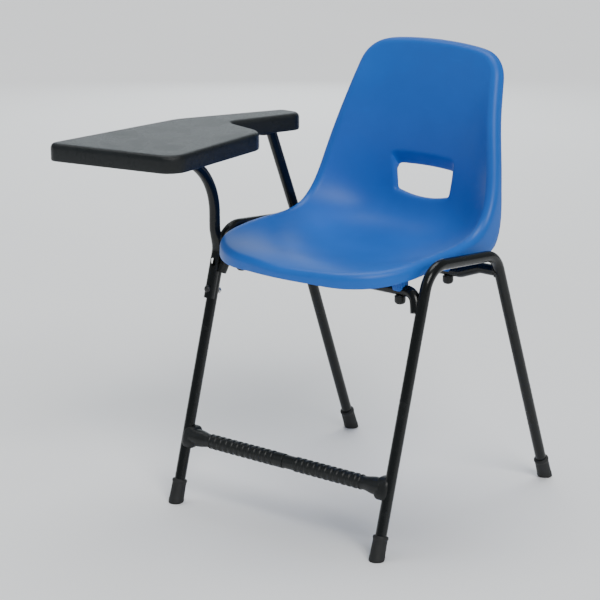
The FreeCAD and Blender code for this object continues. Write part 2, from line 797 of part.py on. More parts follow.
def screw_places():
    """Screws in the underside: clamp flanges, rear plate ends and the base's own fixings."""
    clamps = [(arm_x + side * clamp_screw_x, y) for y in CLAMP_YS for side in (-1, 1)]
    plate_reach = REAR_ARM_PLATE_LENGTH / 2.0 - SCREW_HEAD_D
    plates = [(arm_x, REAR_ARM_TOP_Y + side * plate_reach) for side in (-1, 1)]
    fixings = [(arm_x + x, y) for x, y in BASE_SCREWS]
    return clamps, plates, fixings


def tablet_base():
    """The board that closes the tray, flush with its rim, with pilot holes for the screws."""
    board = slab(inset_outline(TABLET_WALL + TABLET_BASE_GAP), TABLET_BASE_T)
    clamps, plates, fixings = screw_places()
    for x, y in clamps + plates + fixings:
        board = board.cut(cylinder(V(x, y, tablet_base_z - 1), UP, SCREW_D / 2.0, SCREW_LENGTH + 1))
    return board


def screw(x, y, seat_z):
    """A domed screw driven upwards, its head against a face at seat_z."""
    shank = cylinder(V(x, y, seat_z), UP, SCREW_D / 2.0, tablet_base_z + SCREW_LENGTH - seat_z)
    head = cylinder(V(x, y, seat_z), -UP, SCREW_HEAD_D / 2.0, SCREW_HEAD_H)
    lower = [e for e in head.Edges if e.BoundBox.ZMax < seat_z - SCREW_HEAD_H + 0.01]
    return shank.fuse(head.makeFillet(SCREW_HEAD_EDGE, lower))


def screws(places, seat_z):
    return Part.makeCompound([screw(x, y, seat_z) for x, y in places])


# ---------------------------------------------------------------- tablet arms

front_arm_radii = [ARM_JOG_RADIUS, ARM_JOG_RADIUS, ARM_BEND_RADIUS]
rear_arm_radii = [ARM_JOG_RADIUS]


def nest_line(leg_y, slope, way, z):
    """The centre of an arm where it lies nested along a leg, in front of it or behind it."""
    square = math.sqrt(1.0 + slope * slope)
    return V(arm_x, leg_y(z) + way * ARM_NEST_OFFSET * square, z)


def arm_body(points, radii):
    """A tube whose lower end is pressed hollow against the frame tube that it lies along."""
    outer = bar(points, radii, tube_r)
    inner = bar(points, radii, tube_bore_r)
    frame = frame_bar(arm_x, tube_r + FIT_CLEARANCE)
    frame_and_wall = frame_bar(arm_x, tube_r + FIT_CLEARANCE + TUBE_WALL)
    body = outer.cut(frame).cut(inner.cut(frame_and_wall))
    return max(body.Solids, key=lambda s: s.Volume)


def front_arm_points():
    return [
        nest_line(front_leg_y, FRONT_LEG_SLOPE, -1, ARM_NEST_BOTTOM_Z),
        nest_line(front_leg_y, FRONT_LEG_SLOPE, -1, ARM_NEST_TOP_Z),
        V(arm_x, ARM_RISER_Y, FRAME_HEIGHT),
        V(arm_x, ARM_RISER_Y, arm_run_z),
        V(arm_x, ARM_FRONT_REACH_Y, arm_run_z),
    ]


def rear_arm_points():
    return [
        nest_line(rear_leg_y, -REAR_LEG_SLOPE, 1, ARM_NEST_BOTTOM_Z),
        nest_line(rear_leg_y, -REAR_LEG_SLOPE, 1, ARM_NEST_TOP_Z),
        V(arm_x, REAR_ARM_TOP_Y, tablet_base_z),
    ]


def bolt_line(leg_y, axis, way):
    """Where an arm's bolt crosses the leg's centre, and its direction out through the arm."""
    centre = V(arm_x, leg_y(ARM_BOLT_Z), ARM_BOLT_Z)
    out = axis.cross(ACROSS).normalize()
    if out.y * way < 0:
        out = -out
    return centre, out


def arm_bolt_hole(centre, out):
    return cylinder(centre - out * TUBE_OD, out, bolt_hole_r, 3 * TUBE_OD)


def arm_plug(end, way):
    """A plastic plug in the open end of an arm tube, its rim flush with the tube."""
    head = cylinder(end, way, tube_r, ARM_PLUG_HEAD)
    return head.fuse(cylinder(end, -way, tube_bore_r, ARM_PLUG_DEPTH))


def front_arm():
    body = arm_body(front_arm_points(), front_arm_radii)
    middle = nest_line(front_leg_y, FRONT_LEG_SLOPE, -1, ARM_DRAIN_Z)
    near = V(-TUBE_OD, -ARM_DRAIN_FORWARD - ARM_DRAIN_WIDTH / 2.0, -ARM_DRAIN_HEIGHT / 2.0)
    drain = Part.makeBox(2 * TUBE_OD, ARM_DRAIN_WIDTH, ARM_DRAIN_HEIGHT, middle + near)
    level = [e for e in drain.Edges if abs(e.Vertexes[0].X - e.Vertexes[-1].X) > TUBE_OD]
    drain = drain.makeFillet(ARM_DRAIN_CORNER, level)
    drain.rotate(middle, UP, ARM_DRAIN_TURN)
    body = body.cut(drain)
    return body.cut(arm_bolt_hole(*bolt_line(front_leg_y, front_leg_axis, -1)))


def rear_arm():
    body = arm_body(rear_arm_points(), rear_arm_radii)
    above = room_below(arm_x, REAR_ARM_TOP_Y, tablet_base_z - REAR_ARM_PLATE_T + TRIM)
    return body.cut(above).cut(arm_bolt_hole(*bolt_line(rear_leg_y, rear_leg_axis, 1)))


def rear_arm_plate():
    """A flat steel foot plate, with rounded ends, between the rear arm and the base board."""
    reach = REAR_ARM_PLATE_LENGTH / 2.0
    half = REAR_ARM_PLATE_WIDTH / 2.0
    corners = [(-half, -reach), (half, -reach), (half, reach), (-half, reach)]
    corners = [(arm_x + x, REAR_ARM_TOP_Y + y, REAR_ARM_PLATE_CORNER) for x, y in corners]
    plate = slab(rounded_outline(corners, tablet_base_z - REAR_ARM_PLATE_T), REAR_ARM_PLATE_T)
    for x, y in screw_places()[1]:
        plate = plate.cut(cylinder(V(x, y, tablet_base_z), -UP, SCREW_D / 2.0 + FIT_CLEARANCE, TUBE_OD))
    return plate


def clamp(y):
    """A saddle strap round the underside of the front arm, with a flat ear each side."""
    low = V(arm_x, y - CLAMP_WIDTH / 2.0, arm_run_z)
    strap = cylinder(low, BACK, clamp_r + CLAMP_WALL, CLAMP_WIDTH)
    side = 2 * (clamp_r + CLAMP_WALL)
    strap = strap.fuse(
        Part.makeBox(side, CLAMP_WIDTH, tube_r, V(arm_x - side / 2.0, low.y, arm_run_z))
    )
    ear_reach = clamp_r + CLAMP_WALL + CLAMP_FLANGE
    ears = Part.makeBox(
        2 * ear_reach, CLAMP_WIDTH, CLAMP_WALL, V(arm_x - ear_reach, low.y, tablet_base_z - CLAMP_WALL)
    )
    strap = strap.fuse(ears)
    room = cylinder(low - BACK, BACK, clamp_r, CLAMP_WIDTH + 2)
    room = room.fuse(
        Part.makeBox(2 * clamp_r, CLAMP_WIDTH + 2, TUBE_OD, V(arm_x - clamp_r, low.y - 1, arm_run_z))
    )
    above = Part.makeBox(2 * side, CLAMP_WIDTH + 2, TUBE_OD, V(arm_x - side, low.y - 1, tablet_base_z))
    strap = strap.cut(room).cut(above)
    for x, screw_y in screw_places()[0]:
        hole = cylinder(V(x, screw_y, tablet_base_z), -UP, SCREW_D / 2.0 + FIT_CLEARANCE, TUBE_OD)
        strap = strap.cut(hole)
    return strap


def arm_bolt_parts(leg_y, axis, way):
    """Domed bolt through arm and leg, with a washer and a dome nut on the far side."""
    centre, out = bolt_line(leg_y, axis, way)
    arm_face = ARM_NEST_OFFSET + tube_r
    head_edge = ARM_HEAD_D / 2.0
    rise = ARM_HEAD_H
    dome_r = (head_edge ** 2 + rise ** 2) / (2.0 * rise)
    edge = V(head_edge, 0, 0)
    top = V(0, 0, rise)
    turn = math.asin(head_edge / dome_r) / 2.0
    between = V(dome_r * math.sin(turn), 0, rise - dome_r * (1.0 - math.cos(turn)))
    outline = Part.Wire([
        Part.LineSegment(V(0, 0, 0), edge).toShape(),
        Part.Arc(edge, between, top).toShape(),
        Part.LineSegment(top, V(0, 0, 0)).toShape(),
    ])
    head = Part.Face(outline).revolve(V(0, 0, 0), UP, 360)
    head.Placement = FreeCAD.Placement(centre + out * arm_face, FreeCAD.Rotation(UP, out))
    washer_end = tube_r + WASHER_T
    bolt = head.fuse(cylinder(centre + out * arm_face, -out, BOLT_D / 2.0, arm_face + washer_end + ARM_NUT_H))
    washer = ring(centre - out * tube_r, -out, ARM_WASHER_OD / 2.0, bolt_hole_r, WASHER_T)
    nut = hexagon(centre - out * washer_end, -out, ARM_NUT_AF, ARM_NUT_H)
    nut = nut.cut(cylinder(centre, -out, BOLT_D / 2.0, 2 * TUBE_OD))
    return bolt, washer, nut


def hexagon(start, way, across_flats, height):
    side = ACROSS
    other = way.cross(side).normalize()
    corner_r = across_flats / math.sqrt(3.0)
    points = []
    for i in range(7):
        angle = math.radians(60 * i)
        points.append(start + side * (corner_r * math.cos(angle)) + other * (corner_r * math.sin(angle)))
    return Part.Face(Part.makePolygon(points)).extrude(way * height)


# ---------------------------------------------------------------- the whole chair

def chair():
    nodes = {}
    for name, x in (("left", FRAME_HALF_WIDTH), ("right", -FRAME_HALF_WIDTH)):
        frame = side_frame(x)
        if x < 0:
            frame = frame.cut(arm_bolt_hole(*bolt_line(front_leg_y, front_leg_axis, -1)))
            frame = frame.cut(arm_bolt_hole(*bolt_line(rear_leg_y, rear_leg_axis, 1)))
        nodes["side_frame_" + name] = frame
        nodes["foot_front_" + name] = ferrule(x, front_foot, front_leg_axis)
        nodes["foot_rear_" + name] = ferrule(x, rear_foot, rear_leg_axis)
    nodes["front_crossmember"] = drilled(front_crossmember())
    nodes["rear_crossmember"] = drilled(rear_crossmember())
    nodes["stretcher_tube"] = stretcher()
    nodes["stretcher_sleeve_left"] = sleeve_half(0.0)
    nodes["stretcher_sleeve_right"] = mirrored(sleeve_half(SLEEVE_LAP_STEP))
    nodes["seat_shell"] = seat_shell()
    nodes["seat_inserts"] = at_bolts(insert)
    nodes["seat_bolts"] = at_bolts(seat_bolt)
    nodes["seat_washers"] = at_bolts(seat_washer)
    nodes["seat_bolt_caps"] = at_bolts(bolt_cap)
    nodes["tablet_top"] = tablet_top()
    nodes["tablet_base"] = tablet_base()
    nodes["front_arm"] = front_arm()
    nodes["rear_arm"] = rear_arm()
    nodes["front_arm_plug"] = arm_plug(front_arm_points()[-1], -BACK)
    nodes["rear_arm_plate"] = rear_arm_plate()
    nodes["arm_clamp_front"] = clamp(CLAMP_YS[1])
    nodes["arm_clamp_rear"] = clamp(CLAMP_YS[0])
    clamps, plates, fixings = screw_places()
    nodes["clamp_screws"] = screws(clamps, tablet_base_z - CLAMP_WALL)
    nodes["plate_screws"] = screws(plates, tablet_base_z - REAR_ARM_PLATE_T)
    nodes["base_screws"] = screws(fixings, tablet_base_z)
    front = arm_bolt_parts(front_leg_y, front_leg_axis, -1)
    rear = arm_bolt_parts(rear_leg_y, rear_leg_axis, 1)
    for name, pair in zip(("arm_bolts", "arm_washers", "arm_nuts"), zip(front, rear)):
        nodes[name] = Part.makeCompound(list(pair))
    return nodes


nodes = chair()
whole = FreeCAD.BoundBox()
for shape in nodes.values():
    whole.add(shape.optimalBoundingBox(False, False))
shift = V(-(whole.XMin + whole.XMax) / 2.0, -(whole.YMin + whole.YMax) / 2.0, -whole.ZMin)
for name, shape in nodes.items():
    shape.translate(shift)
    shape.exportStep("parts/" + name + ".step")
    print(name, shape.isValid(), len(shape.Solids), round(shape.Volume), shape.BoundBox)
print("shift", shift, "box", whole)
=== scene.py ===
"""Looks of a student desk chair: moulded seat shell, writing board, enamelled tube frame."""
import math

import bpy
import numpy as np
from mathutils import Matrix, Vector


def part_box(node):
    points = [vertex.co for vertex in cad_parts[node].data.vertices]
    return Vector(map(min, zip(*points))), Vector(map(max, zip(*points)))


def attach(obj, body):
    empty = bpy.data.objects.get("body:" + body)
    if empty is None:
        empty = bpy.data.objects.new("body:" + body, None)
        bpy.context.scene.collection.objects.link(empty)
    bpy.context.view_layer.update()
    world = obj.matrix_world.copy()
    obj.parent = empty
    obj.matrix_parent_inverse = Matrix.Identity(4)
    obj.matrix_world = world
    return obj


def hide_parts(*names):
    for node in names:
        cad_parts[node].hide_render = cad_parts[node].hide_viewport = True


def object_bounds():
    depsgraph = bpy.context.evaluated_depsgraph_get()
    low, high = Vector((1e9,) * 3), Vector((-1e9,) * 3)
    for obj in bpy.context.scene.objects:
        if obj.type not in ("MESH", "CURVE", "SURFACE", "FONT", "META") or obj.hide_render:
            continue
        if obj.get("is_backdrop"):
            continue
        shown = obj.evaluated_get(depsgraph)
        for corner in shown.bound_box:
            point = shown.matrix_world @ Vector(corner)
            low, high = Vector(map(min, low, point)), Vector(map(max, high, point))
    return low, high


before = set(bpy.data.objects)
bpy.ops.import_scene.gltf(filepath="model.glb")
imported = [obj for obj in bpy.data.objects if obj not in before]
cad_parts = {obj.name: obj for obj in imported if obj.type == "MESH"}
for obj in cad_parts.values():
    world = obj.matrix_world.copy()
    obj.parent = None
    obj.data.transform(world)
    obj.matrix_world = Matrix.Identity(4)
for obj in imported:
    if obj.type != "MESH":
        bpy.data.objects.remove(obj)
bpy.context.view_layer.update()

bl_info = {
    "name": "Student desk chair looks",
    "version": (1, 0, 0),
    "blender": (4, 5, 0),
    "location": "View3D > Sidebar > Desk chair",
    "description": "Builds the moulded pieces, the finishes and the stage of a student desk chair",
    "category": "Add Mesh",
}

MM = 0.001

# The four seat fixings, in millimetres about the chair's own middle plane and zero line
FIXING_FRONT_Y = 52.265
FIXING_REAR_Y = 273.126
FIXING_FRONT_Z = 427.0
FIXING_REAR_Z = 403.0
FIXING_FRONT_X = 169.0
FIXING_REAR_X = 112.0


def chair_zero():
    """Where the chair's own middle plane and zero line stand in the shared frame, in metres:
    the middle of the four seat inserts, less the mean depth of the seat fixings."""
    low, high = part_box("seat_inserts")
    return np.array([
        (low.x + high.x) / 2,
        (low.y + high.y) / 2 - (FIXING_FRONT_Y + FIXING_REAR_Y) / 2 * MM,
        0.0,
    ])


HOME = chair_zero()

# Stations across the shell, front edge to top edge: share of the depth, share of the back's
# rise above the rails, share of the half width, share of the side lift, lean of the lift.
STATIONS = np.array([
    (0.000, -0.040, 0.885, 0.00, 0.0),
    (0.073, -0.031, 0.920, 0.02, 0.0),
    (0.232, -0.065, 0.980, 0.24, 0.0),
    (0.436, -0.119, 1.000, 0.51, 2.0),
    (0.641, -0.136, 0.965, 0.63, 20.0),
    (0.800, -0.105, 0.948, 0.87, 38.0),
    (0.890, -0.003, 0.933, 0.98, 47.0),
    (0.923, 0.150, 0.907, 0.90, 53.0),
    (0.930, 0.361, 0.860, 0.66, 62.0),
    (0.946, 0.609, 0.784, 0.45, 73.0),
    (0.972, 0.830, 0.727, 0.26, 84.0),
    (1.000, 1.000, 0.675, 0.12, 90.0),
])
FRAME_TOP = 471.0
SHELL_DEPTH = 440.0
SHELL_RISE = 294.0
SHELL_FRONT_Y = -52.0
SHELL_HALF = 188.475
SHELL_LIFT = 70.0
LIFT_POWER = 2.8
ROLL_RADIUS = 8.5
FLANGE = 7.0
CORNER_DROP = 7.0
CORNER_DROP_RUN = 180.0
SKIRT = 36.0
SKIRT_RUN = 50.0
SKIRT_STATION = 5
SKIRT_TURN = 14.0
FRONT_CORNER = 120.0
FRONT_BOW = 9.0
TOP_CORNER = 40.0
TOP_BOW = 5.0
SLOT_BOTTOM = 6.60
SLOT_TOP = 7.98
SLOT_BOTTOM_HALF = 61.0
SLOT_TOP_HALF = 69.0
SLOT_CORNER = 9.0
SLOT_SAG = 6.0
SLOT_ARCH = 3.0
SLOT_LIP = 7.0
SLOT_LIP_ANGLE = 84.0
SLOT_LIP_RUN = 42.0
EDGE_FULLNESS = 0.8
NORMAL_STEP = 0.5
TOP_LIP = 25.0
TOP_LIP_SLOPE = 30.0
TOP_LIP_TAPER = 0.004
COLUMNS = (12, 13, 11)
ROW_SHARES = np.array([
    0.0, 0.03, 0.1, 0.2, 0.32, 0.44, 0.56, 0.68, 0.79, 0.88, 0.95, 0.985, 1.0,
])
LIP_SHARES = np.array([1.0, 0.66, 0.33])
ROLL_ROWS = 4
FLANGE_ROWS = 2
STEPS = 12

# Writing board outline: corners and the radius of each
BOARD = np.array([
    (-362.0, -230.0, 16.0),
    (-117.0, -179.0, 38.0),
    (-129.0, 69.0, 40.0),
    (-227.0, 92.0, 12.0),
    (-168.0, 240.0, 20.0),
    (-226.0, 237.0, 18.0),
    (-322.0, 58.0, 90.0),
])

# Across the board's wall, from the underside's inner edge over the top: how far in from the
# outline, and how high above the underside
BOARD_SECTION = np.array([
    (3.4, 8.0), (3.4, 0.6), (3.0, 0.1), (2.2, 0.0), (1.0, 0.4), (0.25, 1.4),
    (0.0, 3.0), (0.0, 12.0), (0.0, 20.5), (0.35, 23.4), (1.3, 25.9), (2.8, 27.9),
    (4.9, 29.2), (7.4, 29.85), (10.0, 30.0), (15.0, 30.0),
])
BOARD_WALL = 3.0

# Sleeves of the foot rail
RAIL_Y = -39.775
RAIL_Z = 115.0
SLEEVE_END = 205.0
RIB_PITCH = 12.4
RIB_FIRST = 27.0
RIB_LAST = 166.0

# The legs: how far out they stand, where their middle lines meet the floor and how far they
# go back for each millimetre of height
LEG_X = 218.0
TUBE_RADIUS = 9.525
FRONT_FOOT_Y = -73.7
FRONT_LEG_SLOPE = 0.295
REAR_FOOT_Y = 437.4
REAR_LEG_SLOPE = -0.393

# The camera, in metres
CAMERA_PLACE = (2.49024, -3.20296, 1.53051)
CAMERA_AIM = (0.063938, -0.112375, 0.389775)
CAMERA_LENS = 146.49
CAMERA_SENSOR = 36.0
CAMERA_SHIFT = (0.0002, 0.0007)


# ------------------------------------------------------------------ curves and surfaces

def natural_spline(knots, values, t):
    """A curve through values (one column each) at knots, cubic between them and with no
    bending at the ends: the bends come from one tridiagonal system for all columns."""
    n = len(knots)
    step = np.diff(knots)
    system = np.eye(n)
    right = np.zeros((n, values.shape[1]))
    inner = np.arange(1, n - 1)
    system[inner, inner - 1] = step[:-1]
    system[inner, inner] = 2 * (step[:-1] + step[1:])
    system[inner, inner + 1] = step[1:]
    slope = np.diff(values, axis=0) / step[:, None]
    right[1:-1] = 6 * np.diff(slope, axis=0)
    bend = np.linalg.solve(system, right)
    i = np.clip(np.searchsorted(knots, t, side="left") - 1, 0, n - 2)
    a = ((knots[i + 1] - t) / step[i])[..., None]
    b = ((t - knots[i]) / step[i])[..., None]
    curve = (a ** 3 - a) * bend[i] + (b ** 3 - b) * bend[i + 1]
    return a * values[i] + b * values[i + 1] + curve * step[i][..., None] ** 2 / 6


def clamped_basis(count, samples):
    """Weights of a cubic curve steered by count points and touching both end ones: the usual
    blending functions, built up from flat steps over evenly spaced knots."""
    spans = count - 3
    knots = np.concatenate([np.zeros(3), np.arange(spans + 1), np.full(3, spans)]).astype(float)
    t = np.linspace(0, spans, samples)
    weight = ((knots[:-1] <= t[:, None]) & (t[:, None] < knots[1:])).astype(float)
    weight[-1, count - 1] = 1.0
    for order in (1, 2, 3):
        run = knots[order:] - knots[:-order]
        safe = np.where(run > 0, run, 1.0)
        rise = (t[:, None] - knots[:-order]) / safe * (run > 0)
        fall = (knots[order:] - t[:, None]) / safe * (run > 0)
        weight = rise[:, :-1] * weight[:, :-1] + fall[:, 1:] * weight[:, 1:]
    return weight


def unit(v):
    """Arrows divided by their own lengths."""
    return v / np.linalg.norm(v, axis=-1, keepdims=True)


def smoothstep(x):
    """From 0 to 1 with flat ends: three times the square less twice the cube."""
    x = np.clip(x, 0, 1)
    return x * x * (3 - 2 * x)


class Shell:
    """The seat shell's surface: a centre line through the stations, and at each point across
    it a lift of (share of the half width) to a power, along a leaning direction."""

    def __init__(self):
        y = SHELL_FRONT_Y + STATIONS[:, 0] * SHELL_DEPTH
        z = FRAME_TOP + STATIONS[:, 1] * SHELL_RISE
        self.knots = np.concatenate([[0.0], np.cumsum(np.hypot(np.diff(y), np.diff(z)))])
        width = STATIONS[:, 2] * SHELL_HALF
        lift = STATIONS[:, 3] * SHELL_LIFT
        self.values = np.column_stack([y, z, width, lift, np.radians(STATIONS[:, 4])])
        self.length = self.knots[-1]

    def at(self, along):
        """Depth, height, half width, side lift and lean at a distance along the centre."""
        return np.moveaxis(natural_spline(self.knots, self.values, np.asarray(along, float)), -1, 0)

    def half(self, along):
        """The half width at a distance along the centre."""
        return self.at(along)[2]

    def point(self, along, across):
        """The surface's point: the centre line's, raised by the side lift times the share of
        the half width to a power, the rise leaning back by the station's angle."""
        y, z, half, lift, lean = self.at(along)
        rise = lift * (np.abs(across) / half) ** LIFT_POWER
        return np.stack([across + 0 * y, y - np.sin(lean) * rise, z + np.cos(lean) * rise], -1)

    def normal(self, along, across):
        """Square to the surface: the step across crossed with the step along."""
        d = NORMAL_STEP
        run = self.point(along + d, across) - self.point(along - d, across)
        side = self.point(along, across + d) - self.point(along, across - d)
        return unit(np.cross(side, run))

    def station(self, number):
        """The distance along the centre of a station, or of a place between two."""
        return np.interp(number, np.arange(len(self.knots)), self.knots)


def quarter(centre, start, end):
    """A quarter ellipse from start to end about a centre: cosine of one side plus sine of
    the other."""
    turn = (np.arange(1, STEPS + 1) / STEPS * np.pi / 2)[:, None]
    centre, start, end = (np.array(p, float) for p in (centre, start, end))
    return centre + (start - centre) * np.cos(turn) + (end - centre) * np.sin(turn)


def evenly(path, count):
    """count points at equal distances along a path."""
    reach = np.concatenate([[0.0], np.cumsum(np.linalg.norm(np.diff(path, axis=0), axis=1))])
    goal = np.linspace(0, reach[-1], count)
    return np.column_stack([np.interp(goal, reach, path[:, k]) for k in (0, 1)])


def edge_loop(stretches):
    """Stretches joined end to end, each with its own count of evenly spaced points."""
    parts = [evenly(path, count) for path, count in zip(stretches, COLUMNS)]
    return np.vstack([parts[0]] + [part[1:] for part in parts[1:]])


def rim_edge(shell):
    """The shell's edge, middle of the front to middle of the top: a bowed front, a round
    corner, the side that follows the half width, a round corner and a bowed top."""
    share = np.linspace(0, 1, STEPS + 1)
    corner = float(shell.half(FRONT_CORNER)) - FRONT_CORNER
    start = FRONT_BOW + FRONT_CORNER
    front = np.column_stack([FRONT_BOW * share ** 2, corner * share])
    flank = (start, float(shell.half(start)))
    front = np.vstack([front, quarter((start, corner), front[-1], flank)])
    end = shell.length - TOP_BOW - TOP_CORNER
    along = start + (end - start) * share
    side = np.column_stack([along, shell.half(along)])
    across = side[-1, 1] - TOP_CORNER
    turn = quarter((end, across), side[-1], (shell.length - TOP_BOW, across))
    left = 1 - share[1:]
    top = np.column_stack([shell.length - TOP_BOW * left ** 2, across * left])
    return edge_loop([front, side, np.vstack([side[-1:], turn, top])])


def slot_edge(shell):
    """The hand slot's edge, middle of its bottom to middle of its top: a sagging bottom,
    leaning sides and an arched top, with small round corners."""
    share = np.linspace(0, 1, STEPS + 1)
    low, high = shell.station(SLOT_BOTTOM), shell.station(SLOT_TOP)
    reach = SLOT_BOTTOM_HALF - SLOT_CORNER
    bottom = np.column_stack([low + SLOT_SAG * share ** 2, reach * share])
    start = np.array([bottom[-1, 0] + SLOT_CORNER, SLOT_BOTTOM_HALF])
    bottom = np.vstack([bottom, quarter((start[0], reach), bottom[-1], start)])
    end = np.array([high - SLOT_CORNER, SLOT_TOP_HALF])
    side = start + (end - start) * share[:, None]
    top = SLOT_TOP_HALF - SLOT_CORNER
    turn = quarter((end[0], top), end, (high, top))
    left = 1 - share[1:]
    arch = np.column_stack([high + SLOT_ARCH * (1 - left ** 2), top * left])
    return edge_loop([bottom, side, np.vstack([end[None], turn, arch])])


def edge_directions(shell, loop):
    """Outwards and towards-the-sitter directions at each point of an edge: the edge's run
    crossed with the surface's normal."""
    points = shell.point(loop[:, 0], loop[:, 1])
    around = np.empty_like(points)
    around[1:-1] = points[2:] - points[:-2]
    around[0] = (1, 0, 0)
    around[-1] = (-1, 0, 0)
    normal = shell.normal(loop[:, 0], loop[:, 1])
    return unit(np.cross(around, normal)), normal


def shell_rows(shell):
    """Steering points of the sitter's side of one half: rows from the slot's lip, straight
    across to the edge, then round a rolled rim and down its flange."""
    outer, inner = rim_edge(shell), slot_edge(shell)
    out, normal = edge_directions(shell, inner)
    high = smoothstep(1 - (shell.station(SLOT_TOP) - inner[:, 0]) / SLOT_LIP_RUN)[:, None]
    angle, slope = math.radians(SLOT_LIP_ANGLE), math.radians(TOP_LIP_SLOPE)
    plain = (-out * math.cos(angle) - normal * math.sin(angle)) * SLOT_LIP
    hood = np.column_stack([
        -inner[:, 1] * TOP_LIP_TAPER,
        np.full(len(inner), math.sin(slope)),
        np.full(len(inner), -math.cos(slope)),
    ]) * TOP_LIP
    lip = plain * (1 - high) + hood * high
    base = shell.point(inner[:, 0], inner[:, 1])
    lips = base + lip * LIP_SHARES[:, None, None]
    span = inner + (outer - inner) * ROW_SHARES[:, None, None]
    sheet = shell.point(span[..., 0], span[..., 1])

    out, normal = edge_directions(shell, outer)
    skirt = np.exp(-((outer[:, 0] - shell.knots[SKIRT_STATION]) / SKIRT_RUN) ** 2)
    share = outer[:, 1] / shell.half(outer[:, 0])
    corner = smoothstep(1 - outer[:, 0] / CORNER_DROP_RUN) * smoothstep(share)
    lean = shell.at(outer[:, 0])[4] + math.radians(SKIRT_TURN) * skirt
    up = np.column_stack([0 * lean, -np.sin(lean), np.cos(lean)])
    full = np.pi / 2 + np.arcsin(np.clip((out * up).sum(1), -1, 1))
    count = np.arange(1, ROLL_ROWS + FLANGE_ROWS + 1)[:, None]
    turn = (full * np.minimum(count, ROLL_ROWS) / ROLL_ROWS)[..., None]
    flange = FLANGE + SKIRT * skirt + CORNER_DROP * corner
    drop = flange * np.maximum(0, count - ROLL_ROWS) / FLANGE_ROWS
    way = out * np.cos(turn) - normal * np.sin(turn)
    rim = shell.point(outer[:, 0], outer[:, 1]) + out * (ROLL_RADIUS * np.sin(turn))
    rim = rim - normal * (ROLL_RADIUS * (1 - np.cos(turn))) + way * drop[..., None]
    rows = np.concatenate([lips, sheet, rim])
    rows[:, (0, -1), 0] = 0.0
    return rows


def behind(rows, thickness):
    """The same grid moved back by a thickness, square to the surface: the step from row to
    row crossed with the step along a row."""
    down = np.empty_like(rows)
    down[1:-1] = rows[2:] - rows[:-2]
    down[0] = rows[1] - rows[0]
    down[-1] = rows[-1] - rows[-2]
    around = np.empty_like(rows)
    around[:, 1:-1] = rows[:, 2:] - rows[:, :-2]
    around[:, 0] = (1, 0, 0)
    around[:, -1] = (-1, 0, 0)
    return rows + unit(np.cross(down, around)) * thickness


def half_round(start, end, away, count):
    """Rows that close the gap between two rows by a half oval bulging away: cosine of the
    half gap plus sine of the bulge, which is a little less than the half gap."""
    turn = (np.arange(1, count + 1) / (count + 1) * np.pi)[:, None, None]
    middle, half = (start + end) / 2, (start - end) / 2
    bulge = unit(away) * np.linalg.norm(half, axis=-1, keepdims=True)
    return middle + half * np.cos(turn) + bulge * np.sin(turn) * EDGE_FULLNESS


def torus_faces(rows, columns):
    """Quads of a grid that closes on itself both ways."""
    r, c = np.meshgrid(np.arange(rows), np.arange(columns), indexing="ij")
    down, right = (r + 1) % rows, (c + 1) % columns
    corners = ((r, c), (r, right), (down, right), (down, c))
    return np.stack([row * columns + column for row, column in corners], -1).reshape(-1, 4)


def capped_tube(grid, start=0, turned=False):
    """Quads and the two end caps of a grid that closes on itself across, with its points
    counted from start, and turned round where its rows run the other way."""
    rows, columns = grid.shape[:2]
    quads = torus_faces(rows, columns)[: (rows - 1) * columns] + start
    first = np.arange(columns) + start
    last = first + (rows - 1) * columns
    if turned:
        return quads[:, ::-1], [first, last[::-1]]
    return quads, [first[::-1], last]


def round_turn(count):
    """Angles of a whole turn in equal steps, the first at zero."""
    return np.arange(count) / count * 2 * np.pi


def piece(name, points, faces, material, caps=()):
    """A finished mesh at the origin, from points in millimetres about the chair's own zero,
    riding on the frame."""
    points = np.asarray(points, float).reshape(-1, 3) * MM + HOME
    mesh = bpy.data.meshes.new(name)
    mesh.from_pydata(points, [], [list(f) for f in faces] + [list(c) for c in caps])
    mesh.update()
    mesh.polygons.foreach_set("use_smooth", np.ones(len(mesh.polygons), bool))
    mesh.materials.append(material)
    made = bpy.data.objects.new(name, mesh)
    bpy.context.scene.collection.objects.link(made)
    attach(made, "root")
    return made


def facing_out(quads, points):
    """The quads, turned round together if the closed form they make is inside out: its
    volume, summed over the quads, must be positive."""
    p = np.asarray(points, float).reshape(-1, 3)
    a, b, c, d = (p[quads[:, k]] for k in range(4))
    volume = (np.cross(a, b) * c).sum() + (np.cross(a, c) * d).sum()
    return quads if volume > 0 else quads[:, ::-1]


# ------------------------------------------------------------------ finishes

class Value:
    """A number socket of a node tree that takes part in Python sums."""

    def __init__(self, graph, socket):
        self.graph = graph
        self.socket = socket

    def _math(self, operation, a, b):
        """The value of a Math node on two values or numbers."""
        made = self.graph.node("ShaderNodeMath", {"operation": operation}, {0: a, 1: b})
        return Value(self.graph, made.outputs[0])

    def __add__(self, other):
        return self._math("ADD", self, other)

    __radd__ = __add__

    def __sub__(self, other):
        return self._math("SUBTRACT", self, other)

    def __rsub__(self, other):
        return self._math("SUBTRACT", other, self)

    def __mul__(self, other):
        return self._math("MULTIPLY", self, other)

    __rmul__ = __mul__


